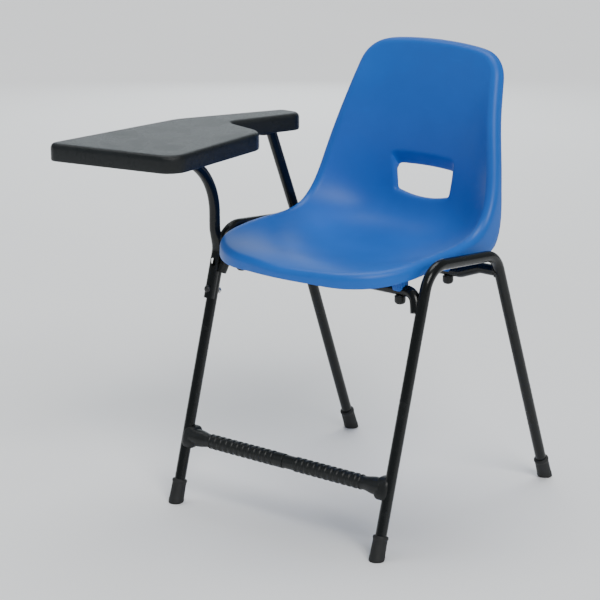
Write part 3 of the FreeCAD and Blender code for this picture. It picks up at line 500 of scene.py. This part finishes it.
class Graph:
    """The node tree of one finish."""

    def __init__(self, name):
        self.material = bpy.data.materials.new(name)
        self.material.use_nodes = True
        self.tree = self.material.node_tree
        self.tree.nodes.clear()

    def node(self, kind, settings=None, inputs=None):
        """A node of a type, with its settings first and then its sockets' values or links."""
        made = self.tree.nodes.new(kind)
        for key, value in (settings or {}).items():
            if key == "stops":
                ramp = made.color_ramp.elements
                for stop, (place, shade) in zip(list(ramp), value):
                    stop.position, stop.color = place, (shade, shade, shade, 1)
            else:
                setattr(made, key, value)
        for key, value in (inputs or {}).items():
            if isinstance(value, Value):
                self.tree.links.new(value.socket, made.inputs[key])
            else:
                made.inputs[key].default_value = value
        return made

    def out(self, made, key=0):
        """A node's output as a value."""
        return Value(self, made.outputs[key])

    def place(self, stretch=(1, 1, 1)):
        """The piece's own coordinates in metres, stretched along each axis."""
        where = self.out(self.node("ShaderNodeTexCoord"), "Object")
        return self.out(self.node("ShaderNodeMapping", {}, {"Vector": where, "Scale": stretch}))

    def noise(self, scale, detail=3.0, stretch=(1, 1, 1)):
        """Soft drifting blotches, from 0 to 1, so many to a metre."""
        made = self.node("ShaderNodeTexNoise", {}, {
            "Vector": self.place(stretch), "Scale": scale, "Detail": detail,
        })
        return self.out(made)

    def cells(self, scale):
        """Height of a pebbled grain: far from a cell's edge is high, the edge is a groove."""
        made = self.node("ShaderNodeTexVoronoi", {"feature": "DISTANCE_TO_EDGE"},
                         {"Vector": self.place(), "Scale": scale})
        return self.out(made)

    def ramp(self, value, low, high):
        """0 below low, 1 above high, and straight between them."""
        made = self.node("ShaderNodeValToRGB", {"stops": [(low, 0.0), (high, 1.0)]}, {0: value})
        return self.out(made)

    def blend(self, share, a, b):
        """From colour a to colour b by a share."""
        made = self.node("ShaderNodeMix", {"data_type": "RGBA"}, {0: share})
        for socket, value in ((made.inputs[6], a), (made.inputs[7], b)):
            if isinstance(value, Value):
                self.tree.links.new(value.socket, socket)
            else:
                socket.default_value = (*value, 1.0)
        return Value(self, made.outputs[2])

    def bump(self, height, depth, strength=1.0, under=None):
        """A relief so many metres deep, over another one where under is given."""
        inputs = {"Height": height, "Distance": depth, "Strength": strength}
        if under:
            inputs["Normal"] = under
        return self.out(self.node("ShaderNodeBump", {}, inputs))

    def finish(self, **sockets):
        """The finished material, from values or links for the shader's sockets."""
        named = {key.replace("_", " "): value for key, value in sockets.items()}
        surface = self.node("ShaderNodeBsdfPrincipled", {}, named)
        self.node("ShaderNodeOutputMaterial", {}, {"Surface": self.out(surface)})
        return self.material


def moulded(name, colour, pale, grain, depth, rough):
    """Injection-moulded plastic: slight clouding of its colour, fine spark grain, and faint
    rubbed streaks that are a little paler and smoother than the rest."""
    g = Graph(name)
    cloud = g.ramp(g.noise(9.0, 4.0), 0.35, 0.70)
    rubbed = g.ramp(g.noise(26.0, 6.0, (1.0, 0.35, 3.0)), 0.60, 0.80)
    speck = g.ramp(g.noise(grain * 0.7, 2.0), 0.55, 0.75)
    base = g.blend(cloud * 0.35 + speck * 0.10 + rubbed * 0.16, colour, pale)
    sheen = rough + cloud * 0.05 - rubbed * 0.05
    fine = g.bump(g.noise(grain, 3.0), depth)
    return g.finish(Base_Color=base, Roughness=sheen, Normal=fine, IOR=1.40)


def pebbled(name, colour, pale, scale, depth, rough):
    """Plastic with a leather-like grain: cells with soft grooves over a slow waviness, paler
    where hands rub it."""
    g = Graph(name)
    cell = g.ramp(g.cells(scale), 0.0, 0.22)
    dust = g.ramp(g.noise(16.0, 5.0), 0.45, 0.75)
    base = g.blend(dust * 0.30 + cell * 0.18, colour, pale)
    sheen = rough + dust * 0.06 - cell * 0.04
    grain = g.bump(cell, depth, 0.8, g.bump(g.noise(70.0, 3.0), depth))
    return g.finish(Base_Color=base, Roughness=sheen, Normal=grain, IOR=1.36)


def enamelled(name, colour, pale):
    """Baked enamel on tube: orange-peel waviness, faint drift of its tone, and a few
    rubbed places where it is duller and greyer."""
    g = Graph(name)
    worn = g.ramp(g.noise(34.0, 6.0), 0.58, 0.78)
    drift = g.noise(7.0, 2.0)
    base = g.blend(drift * 0.35 + worn * 0.40, colour, pale)
    peel = g.bump(g.noise(380.0, 2.0), 0.00012, 0.7)
    sheen = 0.20 + worn * 0.14 + drift * 0.05
    return g.finish(Base_Color=base, Roughness=sheen, Normal=peel, IOR=1.38)


def rubbered(name, colour, pale):
    """Hard rubber, dusty towards grey in blotches, with a fine matt grain."""
    g = Graph(name)
    dust = g.ramp(g.noise(60.0, 6.0), 0.42, 0.80)
    base = g.blend(dust * 0.55, colour, pale)
    grain = g.bump(g.noise(900.0, 3.0), 0.00012)
    return g.finish(Base_Color=base, Roughness=0.62 + dust * 0.14, Normal=grain)


def metal(name, colour, dull, rough):
    """Plated metal: fine turning marks and patches where the plating is dull."""
    g = Graph(name)
    patch = g.ramp(g.noise(220.0, 5.0), 0.40, 0.75)
    marks = g.noise(500.0, 2.0, (1.0, 1.0, 12.0))
    base = g.blend(patch * 0.6, colour, dull)
    fine = g.bump(marks, 0.00006)
    sheen, plating = rough + patch * 0.2, 1.0 - patch * 0.15
    return g.finish(Base_Color=base, Roughness=sheen, Metallic=plating, Normal=fine)


def floored(name, colour, pale):
    """A matt pale sweep with a hardly visible drift of its tone."""
    g = Graph(name)
    base = g.blend(g.noise(1.3, 3.0), colour, pale)
    fine = g.bump(g.noise(240.0, 3.0), 0.0001)
    return g.finish(Base_Color=base, Roughness=0.85, Normal=fine)


def shade(colour, by):
    """A colour made paler: each of its three parts times by, and a small equal step."""
    return tuple(min(1.0, part * by + PALE_STEP * (by - 1)) for part in colour)


def finish_of(slot_name):
    """The finish of a material slot, made the first time it is asked for."""
    name = "finish_" + slot_name
    have = bpy.data.materials.get(name)
    if have:
        return have
    if slot_name in PLATED:
        return metal(name, *PLATED[slot_name])
    maker, colour_name, paler, *grain = PAINTED[slot_name]
    colour = getattr(bpy.context.scene.desk_chair_colours, colour_name)
    return maker(name, tuple(colour), shade(colour, paler), *grain)


PALE_STEP = 0.004

# Each slot's maker, its colour, how many times paler its clouds are, and then the scale,
# depth in metres and roughness of its grain where the maker takes them
PAINTED = {
    "shell_plastic": (moulded, "shell", 1.35, 1100.0, 0.00010, 0.41),
    "tablet_plastic": (pebbled, "board", 1.6, 520.0, 0.00016, 0.30),
    "base_plastic": (moulded, "base", 1.6, 900.0, 0.00012, 0.48),
    "sleeve_plastic": (moulded, "sleeve", 1.6, 800.0, 0.00010, 0.38),
    "frame_enamel": (enamelled, "enamel", 2.2),
    "ferrule_rubber": (rubbered, "rubber", 2.4),
}

# Each metal slot's bright colour, dull colour and roughness
PLATED = {
    "insert_brass": ((0.62, 0.42, 0.16), (0.40, 0.28, 0.13), 0.28),
    "bolt_steel": ((0.56, 0.56, 0.55), (0.32, 0.31, 0.30), 0.26),
    "screw_steel": ((0.50, 0.50, 0.50), (0.28, 0.28, 0.28), 0.30),
    "bolt_black": ((0.06, 0.06, 0.062), (0.03, 0.03, 0.03), 0.32),
}


# ------------------------------------------------------------------ sizes and colours

def size(name, text, default):
    """A length in metres that a user may change."""
    return bpy.props.FloatProperty(name=name, description=text, default=default, min=0.0,
                                   unit="LENGTH", precision=5)


def colour(name, text, default):
    """A colour that a user may change."""
    return bpy.props.FloatVectorProperty(name=name, description=text, default=default, min=0.0,
                                         max=1.0, size=3, subtype="COLOR")


class DeskChairSizes(bpy.types.PropertyGroup):
    """Sizes of the pieces made here, in metres."""

    shell_wall: size("Shell wall", "Thickness of the seat shell", 0.004)
    boss_radius: size("Boss radius", "Radius of the seat's posts, without their ribs", 0.0125)
    boss_rib: size("Boss rib", "How far a post's ribs stand out", 0.0009)
    ferrule_ring: size("Ferrule ring", "How far the ring on a ferrule stands out", 0.0009)
    sleeve_rib: size("Sleeve rib", "How far a foot-rail sleeve's ribs stand out", 0.0014)
    weld_radius: size("Weld radius", "Radius of the weld bead round a tube's end", 0.0021)


class DeskChairColours(bpy.types.PropertyGroup):
    """Colours of the finishes."""

    shell: colour("Shell", "Blue of the moulded shell", (0.0075, 0.110, 0.480))
    board: colour("Board", "Charcoal of the writing board", (0.0070, 0.0088, 0.0096))
    base: colour("Board base", "Black of the board's underside", (0.010, 0.011, 0.012))
    sleeve: colour("Sleeve", "Black of the foot-rail sleeves", (0.006, 0.007, 0.007))
    enamel: colour("Enamel", "Black of the tube frame", (0.0030, 0.0038, 0.0038))
    rubber: colour("Rubber", "Black of the ferrules", (0.006, 0.0065, 0.0065))
    floor: colour("Floor", "Pale floor", (0.92, 0.92, 0.92))


# ------------------------------------------------------------------ operators

class DESKCHAIR_OT_seat_shell(bpy.types.Operator):
    """Make the moulded seat and back shell with its hand slot and rolled rim."""

    # Two skins, a wall apart, are smooth surfaces steered by the same grid of points. A half
    # oval joins them along the rim and another along the slot, and the whole is mirrored.

    bl_idname = "desk_chair.seat_shell"
    bl_label = "Seat shell"

    ROWS = 96
    HALF_COLUMNS = 120
    ROUND = 3

    def execute(self, context):
        wall = context.scene.desk_chair_sizes.shell_wall / MM
        front = shell_rows(Shell())
        back = behind(front, wall)
        by_row = clamped_basis(front.shape[0], self.ROWS)
        by_column = clamped_basis(front.shape[1], self.HALF_COLUMNS)
        front, back = (
            self.mirrored(np.einsum("ir,rck,jc->ijk", by_row, rows, by_column))
            for rows in (front, back)
        )
        rim = half_round(front[-1], back[-1], front[-1] - front[-2], self.ROUND)
        slot = half_round(back[0], front[0], front[0] - front[1], self.ROUND)
        grid = np.concatenate([front, rim, back[::-1], slot])
        quads = facing_out(torus_faces(*grid.shape[:2]), grid)
        made = piece("seat_skin", grid, quads, finish_of("shell_plastic"))
        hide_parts("seat_shell")
        return {"FINISHED"}

    def mirrored(self, half):
        """The half from front middle to top middle, then the same half handed over, back to
        the front; the two middle columns are used once."""
        other = half[:, -2:0:-1] * np.array([-1, 1, 1])
        return np.concatenate([half, other], axis=1)


class DESKCHAIR_OT_shell_bosses(bpy.types.Operator):
    """Make the four ribbed posts that carry the shell on the cross-members."""

    # A post's radius is a plain one plus a rib times a smoothed cosine of so many turns. It
    # ends inside the shell's wall, at the height of the shell's surface over each point.

    bl_idname = "desk_chair.shell_bosses"
    bl_label = "Shell bosses"

    AROUND = 144
    RIBS = 18
    SEARCH = 400
    LAST_STATION = 5
    SINK = 2.5
    FOOT_HEIGHT = 1.0
    FOOT_INSET = 0.94

    def execute(self, context):
        sizes = context.scene.desk_chair_sizes
        radius, rib = sizes.boss_radius / MM, sizes.boss_rib / MM
        shell = Shell()
        turn = round_turn(self.AROUND)
        reach = radius + rib * smoothstep(0.5 + np.cos(self.RIBS * turn))
        along = np.linspace(0, shell.station(self.LAST_STATION), self.SEARCH)
        centre_y = shell.at(along)[0]
        inset = np.array([self.FOOT_INSET, 1.0, 1.0])[:, None, None]
        lift = np.array([0.0, self.FOOT_HEIGHT, 0.0])[:, None]
        share = np.array([0.0, 0.0, 1.0])[:, None]
        points, quads, caps = [], [], []
        for x, y, z in (
            (FIXING_FRONT_X, FIXING_FRONT_Y, FIXING_FRONT_Z),
            (-FIXING_FRONT_X, FIXING_FRONT_Y, FIXING_FRONT_Z),
            (FIXING_REAR_X, FIXING_REAR_Y, FIXING_REAR_Z),
            (-FIXING_REAR_X, FIXING_REAR_Y, FIXING_REAR_Z),
        ):
            middle = np.array([x, y])
            ring = np.column_stack([x + reach * np.cos(turn), y + reach * np.sin(turn)])
            under = shell.point(np.interp(ring[:, 1], centre_y, along), ring[:, 0])[:, 2]
            flat = middle + (ring - middle) * inset
            height = z + lift + share * (under - self.SINK - z)
            grid = np.concatenate([flat, height[..., None]], axis=2)
            faces, ends = capped_tube(grid, len(points) * grid.shape[0] * self.AROUND)
            points.append(grid)
            quads.append(faces)
            caps += ends
        piece("shell_bosses", np.concatenate(points), np.concatenate(quads),
              finish_of("shell_plastic"), caps)
        return {"FINISHED"}


class DESKCHAIR_OT_board_top(bpy.types.Operator):
    """Make the writing board's moulded top with its soft upper edge and turned-in lower one."""

    # At each corner an arc of the corner's radius, less the section's distance from the
    # outline where the corner bulges and plus it where it is hollow, is drawn about the
    # corner's centre, which lies on the line that halves the corner. The arcs of one height
    # make one ring, joined by straight sides.

    bl_idname = "desk_chair.board_top"
    bl_label = "Board top"

    CORNER_STEPS = 14

    def execute(self, context):
        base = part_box("tablet_top")[0].z / MM
        corner, radius = BOARD[:, :2], BOARD[:, 2:]
        before = unit(corner - np.roll(corner, 1, axis=0))
        after = unit(np.roll(corner, -1, axis=0) - corner)
        crossed = before[:, 0] * after[:, 1] - before[:, 1] * after[:, 0]
        turn = np.arctan2(crossed, (before * after).sum(1))
        bulge = np.sign(turn)[:, None]
        centre = corner + unit(after - before) * radius / np.cos(turn / 2)[:, None]
        first = np.arctan2(-before[:, 0], before[:, 1])
        angle = first[:, None] + turn[:, None] * np.linspace(0, 1, self.CORNER_STEPS)
        away = np.stack([np.cos(angle), np.sin(angle)], -1) * bulge[:, None]
        reach = radius - bulge * BOARD_SECTION[:, 0]
        around = centre[:, None, None] + away[:, None] * reach[:, :, None, None]
        around = np.moveaxis(around, 1, 0).reshape(len(BOARD_SECTION), -1, 2)
        height = base + BOARD_SECTION[:, 1][:, None, None]
        height = np.broadcast_to(height, (*around.shape[:2], 1))
        shell = np.concatenate([around, height], axis=2)
        ceiling = shell[-1:] - (0.0, 0.0, BOARD_WALL)
        roof = shell[:1].copy()
        roof[..., 2] = base + (BOARD_SECTION[-1, 1] - BOARD_WALL)
        grid = np.concatenate([ceiling, roof, shell])
        quads, caps = capped_tube(grid)
        made = piece("board_top", grid, quads, finish_of("tablet_plastic"), caps)
        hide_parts("tablet_top")
        return {"FINISHED"}


class DESKCHAIR_OT_rail_sleeves(bpy.types.Operator):
    """Make the two ribbed sleeves of the foot rail, each with a round collar on its leg."""

    # A sleeve's radius along the rail is a plain one, plus a rib times a smoothed cosine of
    # the distance over the pitch, plus a lap at the middle and a flare towards the leg, all
    # drawn in a little at the very end.

    bl_idname = "desk_chair.rail_sleeves"
    bl_label = "Foot-rail sleeves"

    AROUND = 64
    ALONG = 420
    START = 0.3
    RADIUS = 11.7
    RIB_FULLNESS = 1.1
    LAP = 1.1
    LAP_END = 22.0
    LAP_RUN = 3.0
    FLARE = 3.6
    FLARE_RUN = 26.0
    END_EASE = 0.45
    END_RUN = 0.5
    COLLAR_ROWS = 40
    COLLAR_REACH = 0.985
    COLLAR_POWER = 3.2
    COLLAR_INSET = 10.5
    COLLAR_HALF_X = 14.5
    COLLAR_HALF_Y = 15.0
    COLLAR_HALF_Z = 18.5

    def execute(self, context):
        rib = context.scene.desk_chair_sizes.sleeve_rib / MM
        for hand, side, lap in (("left", 1, 0.0), ("right", -1, self.LAP)):
            points, quads, caps, start = [], [], [], 0
            for form in (self.body(side, lap, rib), self.collar(side)):
                faces, ends = capped_tube(form, start, turned=side < 0)
                points.append(form.reshape(-1, 3))
                quads.append(faces)
                caps += ends
                start += len(points[-1])
            made = piece("rail_sleeve_" + hand, np.concatenate(points), np.concatenate(quads),
                         finish_of("sleeve_plastic"), caps)
            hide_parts("stretcher_sleeve_" + hand)
        return {"FINISHED"}

    def body(self, side, lap, rib):
        """The ribbed tube round the rail, from near the middle out to the leg."""
        turn = round_turn(self.AROUND)
        x = np.linspace(self.START, SLEEVE_END, self.ALONG)
        wave = np.cos((x - RIB_FIRST) / RIB_PITCH * 2 * np.pi)
        ribs = smoothstep(0.5 + self.RIB_FULLNESS * wave)
        ribs = ribs * (x > RIB_FIRST - RIB_PITCH / 2) * (x < RIB_LAST - RIB_PITCH / 4)
        plain = lap * smoothstep((self.LAP_END - x) / self.LAP_RUN)
        flare = self.FLARE * smoothstep((x - RIB_LAST) / self.FLARE_RUN)
        ease = 1.0 - self.END_EASE * np.exp(-(x - self.START) / self.END_RUN) / self.RADIUS
        reach = (self.RADIUS + ribs * rib + plain + flare) * ease
        return np.stack([
            np.broadcast_to(side * x[:, None], (self.ALONG, self.AROUND)),
            RAIL_Y + reach[:, None] * np.cos(turn),
            RAIL_Z + reach[:, None] * np.sin(turn),
        ], -1)

    def collar(self, side):
        """A soft-edged knuckle round the leg: along x it swells as one minus a power, to one
        over that power, and each ring is a squarish oval, one over the cube root of the sum of
        its cosine and sine cubed, that leans with the leg."""
        turn = round_turn(self.AROUND)
        share = np.linspace(-self.COLLAR_REACH, self.COLLAR_REACH, self.COLLAR_ROWS)
        swell = (1 - np.abs(share) ** self.COLLAR_POWER) ** (1 / self.COLLAR_POWER)
        c, s = np.cos(turn), np.sin(turn)
        oval = (np.abs(c) ** 3 + np.abs(s) ** 3) ** (-1 / 3)
        y = swell[:, None] * oval * c * self.COLLAR_HALF_Y
        z = swell[:, None] * oval * s * self.COLLAR_HALF_Z
        x = (LEG_X - self.COLLAR_INSET + share * self.COLLAR_HALF_X)[:, None] + 0 * y
        return np.stack([side * x, RAIL_Y + y + FRONT_LEG_SLOPE * z, RAIL_Z + z], -1)


class DESKCHAIR_OT_ferrules(bpy.types.Operator):
    """Make the four rubber ferrules with a flared foot and a ring at the top."""

    # The profile is turned about the leg's middle line. Its rings lie flat on the floor at
    # the sole and come square to the leg within the settling height.

    bl_idname = "desk_chair.ferrules"
    bl_label = "Ferrules"

    AROUND = 72
    SETTLE = 14.0

    # Distance up the leg, radius, and share of the ring's stand-out
    PROFILE = np.array([
        (0.0, 11.6, 0.0), (0.3, 12.5, 0.0), (1.2, 13.3, 0.0), (3.0, 13.5, 0.0),
        (7.0, 13.4, 0.0), (8.6, 13.0, 0.0), (10.0, 12.8, 0.0), (22.0, 12.55, 0.0),
        (33.0, 12.35, 0.0), (35.6, 12.3, 0.0), (36.4, 12.3, 0.6), (37.6, 12.3, 1.0),
        (39.8, 12.3, 1.0), (41.2, 12.3, 0.5), (42.0, 11.7, 0.0), (42.2, 9.6, 0.0),
    ])
    FEET = (
        ("front_left", LEG_X, FRONT_FOOT_Y, FRONT_LEG_SLOPE),
        ("front_right", -LEG_X, FRONT_FOOT_Y, FRONT_LEG_SLOPE),
        ("rear_left", LEG_X, REAR_FOOT_Y, REAR_LEG_SLOPE),
        ("rear_right", -LEG_X, REAR_FOOT_Y, REAR_LEG_SLOPE),
    )

    def execute(self, context):
        ring = context.scene.desk_chair_sizes.ferrule_ring / MM
        along = self.PROFILE[:, :1]
        reach = (self.PROFILE[:, 1] + ring * self.PROFILE[:, 2])[:, None, None]
        turn = round_turn(self.AROUND)[None, :, None]
        sideways, upright = np.array([1.0, 0.0, 0.0]), np.array([0.0, 0.0, 1.0])
        for foot, x, y, slope in self.FEET:
            axis = unit(np.array([0.0, slope, 1.0]))
            tilt = smoothstep(along / self.SETTLE)
            square = np.cross(unit(upright * (1 - tilt) + axis * tilt), sideways)
            middle = np.array([x, y, 0.0]) + axis * along
            spokes = np.cos(turn) * sideways + np.sin(turn) * square[:, None, :]
            grid = middle[:, None, :] + spokes * reach
            quads, caps = capped_tube(grid)
            made = piece("ferrule_" + foot, grid, quads,
                         finish_of("ferrule_rubber"), caps)
            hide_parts("foot_" + foot)
        return {"FINISHED"}


class DESKCHAIR_OT_weld_beads(bpy.types.Operator):
    """Make the rippled weld beads where the rear cross-member meets the legs."""

    # A ring is carried round the cross-member's end on the leg's skin: a circle about x whose
    # depth is the tube's radius times the cosine, with a radius that ripples by a cosine.

    bl_idname = "desk_chair.weld_beads"
    bl_label = "Weld beads"

    AROUND = 120
    SECTION = 12
    RIPPLES = 30
    RIPPLE_SHARE = 0.13
    STAND_OFF = 0.4
    HEIGHT = 418.0

    def execute(self, context):
        bead = context.scene.desk_chair_sizes.weld_radius / MM
        phi = round_turn(self.AROUND)[:, None]
        theta = round_turn(self.SECTION)[:, None]
        leg = unit(np.array([0.0, REAR_LEG_SLOPE, 1.0]))
        radial = np.cos(phi) * leg + np.sin(phi) * np.cross(leg, [1.0, 0.0, 0.0])
        reach = TUBE_RADIUS * np.abs(np.cos(phi))
        swell = bead * (1 + self.RIPPLE_SHARE * np.cos(self.RIPPLES * phi))[..., None]
        leg_y = REAR_FOOT_Y + REAR_LEG_SLOPE * self.HEIGHT
        for side, name in ((1, "weld_rear_left"), (-1, "weld_rear_right")):
            inward = np.array([-side, 0.0, 0.0])
            middle = np.array([side * LEG_X, leg_y, self.HEIGHT])
            line = middle + radial * TUBE_RADIUS + inward * (reach + self.STAND_OFF)
            ring = radial[:, None] * np.cos(theta) + inward * np.sin(theta)
            grid = line[:, None] + ring * swell
            quads = facing_out(torus_faces(*grid.shape[:2]), grid)
            piece(name, grid, quads, finish_of("frame_enamel"))
        return {"FINISHED"}


class DESKCHAIR_OT_node_finishes(bpy.types.Operator):
    """Give each CAD node the finish of its own material slot."""

    bl_idname = "desk_chair.node_finishes"
    bl_label = "Node finishes"

    def execute(self, context):
        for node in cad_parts.values():
            for place in node.material_slots:
                place.material = finish_of(place.material.name.split(".")[0])
        return {"FINISHED"}


def studio(colours):
    """A pale room as it is seen, and a dimmer one as it lights the chair, so that dark
    enamel stays dark and the soft boxes draw its highlights."""
    world = bpy.data.worlds.new("studio")
    world.use_nodes = True
    tree = world.node_tree
    tree.nodes.clear()
    seen, lights, path, mix, out = (tree.nodes.new("ShaderNode" + kind) for kind in (
        "Background", "Background", "LightPath", "MixShader", "OutputWorld",
    ))
    seen.inputs["Color"].default_value = (*colours.floor, 1.0)
    seen.inputs["Strength"].default_value = ROOM_AS_SEEN
    lights.inputs["Color"].default_value = (*ROOM_TINT, 1.0)
    lights.inputs["Strength"].default_value = ROOM_AS_LIGHT
    tree.links.new(path.outputs["Is Camera Ray"], mix.inputs[0])
    tree.links.new(lights.outputs[0], mix.inputs[1])
    tree.links.new(seen.outputs[0], mix.inputs[2])
    tree.links.new(mix.outputs[0], out.inputs["Surface"])
    return world


def lamp(name, kind, place, width, power, tint, aim):
    """A sun, whose width is its angle in radians, or a disc, whose width is in metres, that
    shines from a place towards an aim."""
    made = bpy.data.lights.new(name, kind)
    made.energy, made.color = power, tint
    if kind == "SUN":
        made.angle = width
    else:
        made.shape, made.size = "DISK", width
    lit = bpy.data.objects.new(name, made)
    lit.location = place
    lit.rotation_euler = turned_to(aim, Vector(place))
    lit.visible_camera = False
    return lit


def turned_to(aim, place):
    """The turn of a lamp or camera at a place that looks at an aim."""
    return (aim - place).to_track_quat("-Z", "Y").to_euler()


FLOOR_HALF = 12.0
FLOOR_PALER = 1.06
ROOM_AS_SEEN = 1.4
ROOM_AS_LIGHT = 0.32
ROOM_TINT = (0.86, 0.93, 1.0)

# Name, kind, place, width, power and tint of each light
LIGHTS = (
    ("key_light", "SUN", (1.9, -1.2, 2.6), 0.50, 2.0, (1.0, 0.99, 0.97)),
    ("top_light", "SUN", (-0.6, 0.5, 2.9), 0.70, 1.5, (0.97, 0.99, 1.0)),
    ("fill_light", "AREA", (-1.9, -2.2, 1.9), 1.6, 5.0, (0.94, 0.98, 1.0)),
    ("back_light", "AREA", (-2.2, 2.7, 1.25), 2.2, 13.0, (0.88, 0.97, 1.0)),
)


class DESKCHAIR_OT_stage(bpy.types.Operator):
    """Set the pale floor, the soft lights and the camera."""

    bl_idname = "desk_chair.stage"
    bl_label = "Stage"

    def execute(self, context):
        scene = context.scene
        colours = scene.desk_chair_colours
        put = scene.collection.objects.link
        r = FLOOR_HALF
        mesh = bpy.data.meshes.new("floor")
        mesh.from_pydata([(-r, -r, 0), (r, -r, 0), (r, r, 0), (-r, r, 0)], [], [(0, 1, 2, 3)])
        pale = shade(colours.floor, FLOOR_PALER)
        mesh.materials.append(floored("floor_paint", tuple(colours.floor), pale))
        floor = bpy.data.objects.new("floor", mesh)
        put(floor)
        floor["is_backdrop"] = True
        low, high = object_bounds()
        for light in LIGHTS:
            put(lamp(*light, (low + high) / 2))
        scene.world = studio(colours)
        seen = bpy.data.cameras.new("camera")
        seen.lens, seen.sensor_width = CAMERA_LENS, CAMERA_SENSOR
        seen.shift_x, seen.shift_y = CAMERA_SHIFT
        camera = bpy.data.objects.new("camera", seen)
        camera.location = CAMERA_PLACE
        camera.rotation_euler = turned_to(Vector(CAMERA_AIM), camera.location)
        put(camera)
        scene.camera = camera
        return {"FINISHED"}


class DESKCHAIR_PT_panel(bpy.types.Panel):
    """Lists the pieces, their sizes and their colours."""

    bl_idname = "DESKCHAIR_PT_panel"
    bl_label = "Desk chair"
    bl_space_type = "VIEW_3D"
    bl_region_type = "UI"
    bl_category = "Desk chair"

    def draw(self, context):
        layout = self.layout
        for group in (context.scene.desk_chair_sizes, context.scene.desk_chair_colours):
            for name in group.__annotations__:
                layout.prop(group, name)
        for operator in PIECES:
            layout.operator(operator.bl_idname)


PIECES = (
    DESKCHAIR_OT_stage,
    DESKCHAIR_OT_seat_shell,
    DESKCHAIR_OT_shell_bosses,
    DESKCHAIR_OT_board_top,
    DESKCHAIR_OT_rail_sleeves,
    DESKCHAIR_OT_ferrules,
    DESKCHAIR_OT_weld_beads,
    DESKCHAIR_OT_node_finishes,
)
CLASSES = (DeskChairSizes, DeskChairColours, *PIECES, DESKCHAIR_PT_panel)


def register():
    for made in CLASSES:
        bpy.utils.register_class(made)
    bpy.types.Scene.desk_chair_sizes = bpy.props.PointerProperty(type=DeskChairSizes)
    bpy.types.Scene.desk_chair_colours = bpy.props.PointerProperty(type=DeskChairColours)


def unregister():
    del bpy.types.Scene.desk_chair_colours
    del bpy.types.Scene.desk_chair_sizes
    for made in reversed(CLASSES):
        bpy.utils.unregister_class(made)


def main():
    register()
    for operator in PIECES:
        group, call = operator.bl_idname.split(".")
        getattr(getattr(bpy.ops, group), call)()


if __name__ == "__main__":
    main()
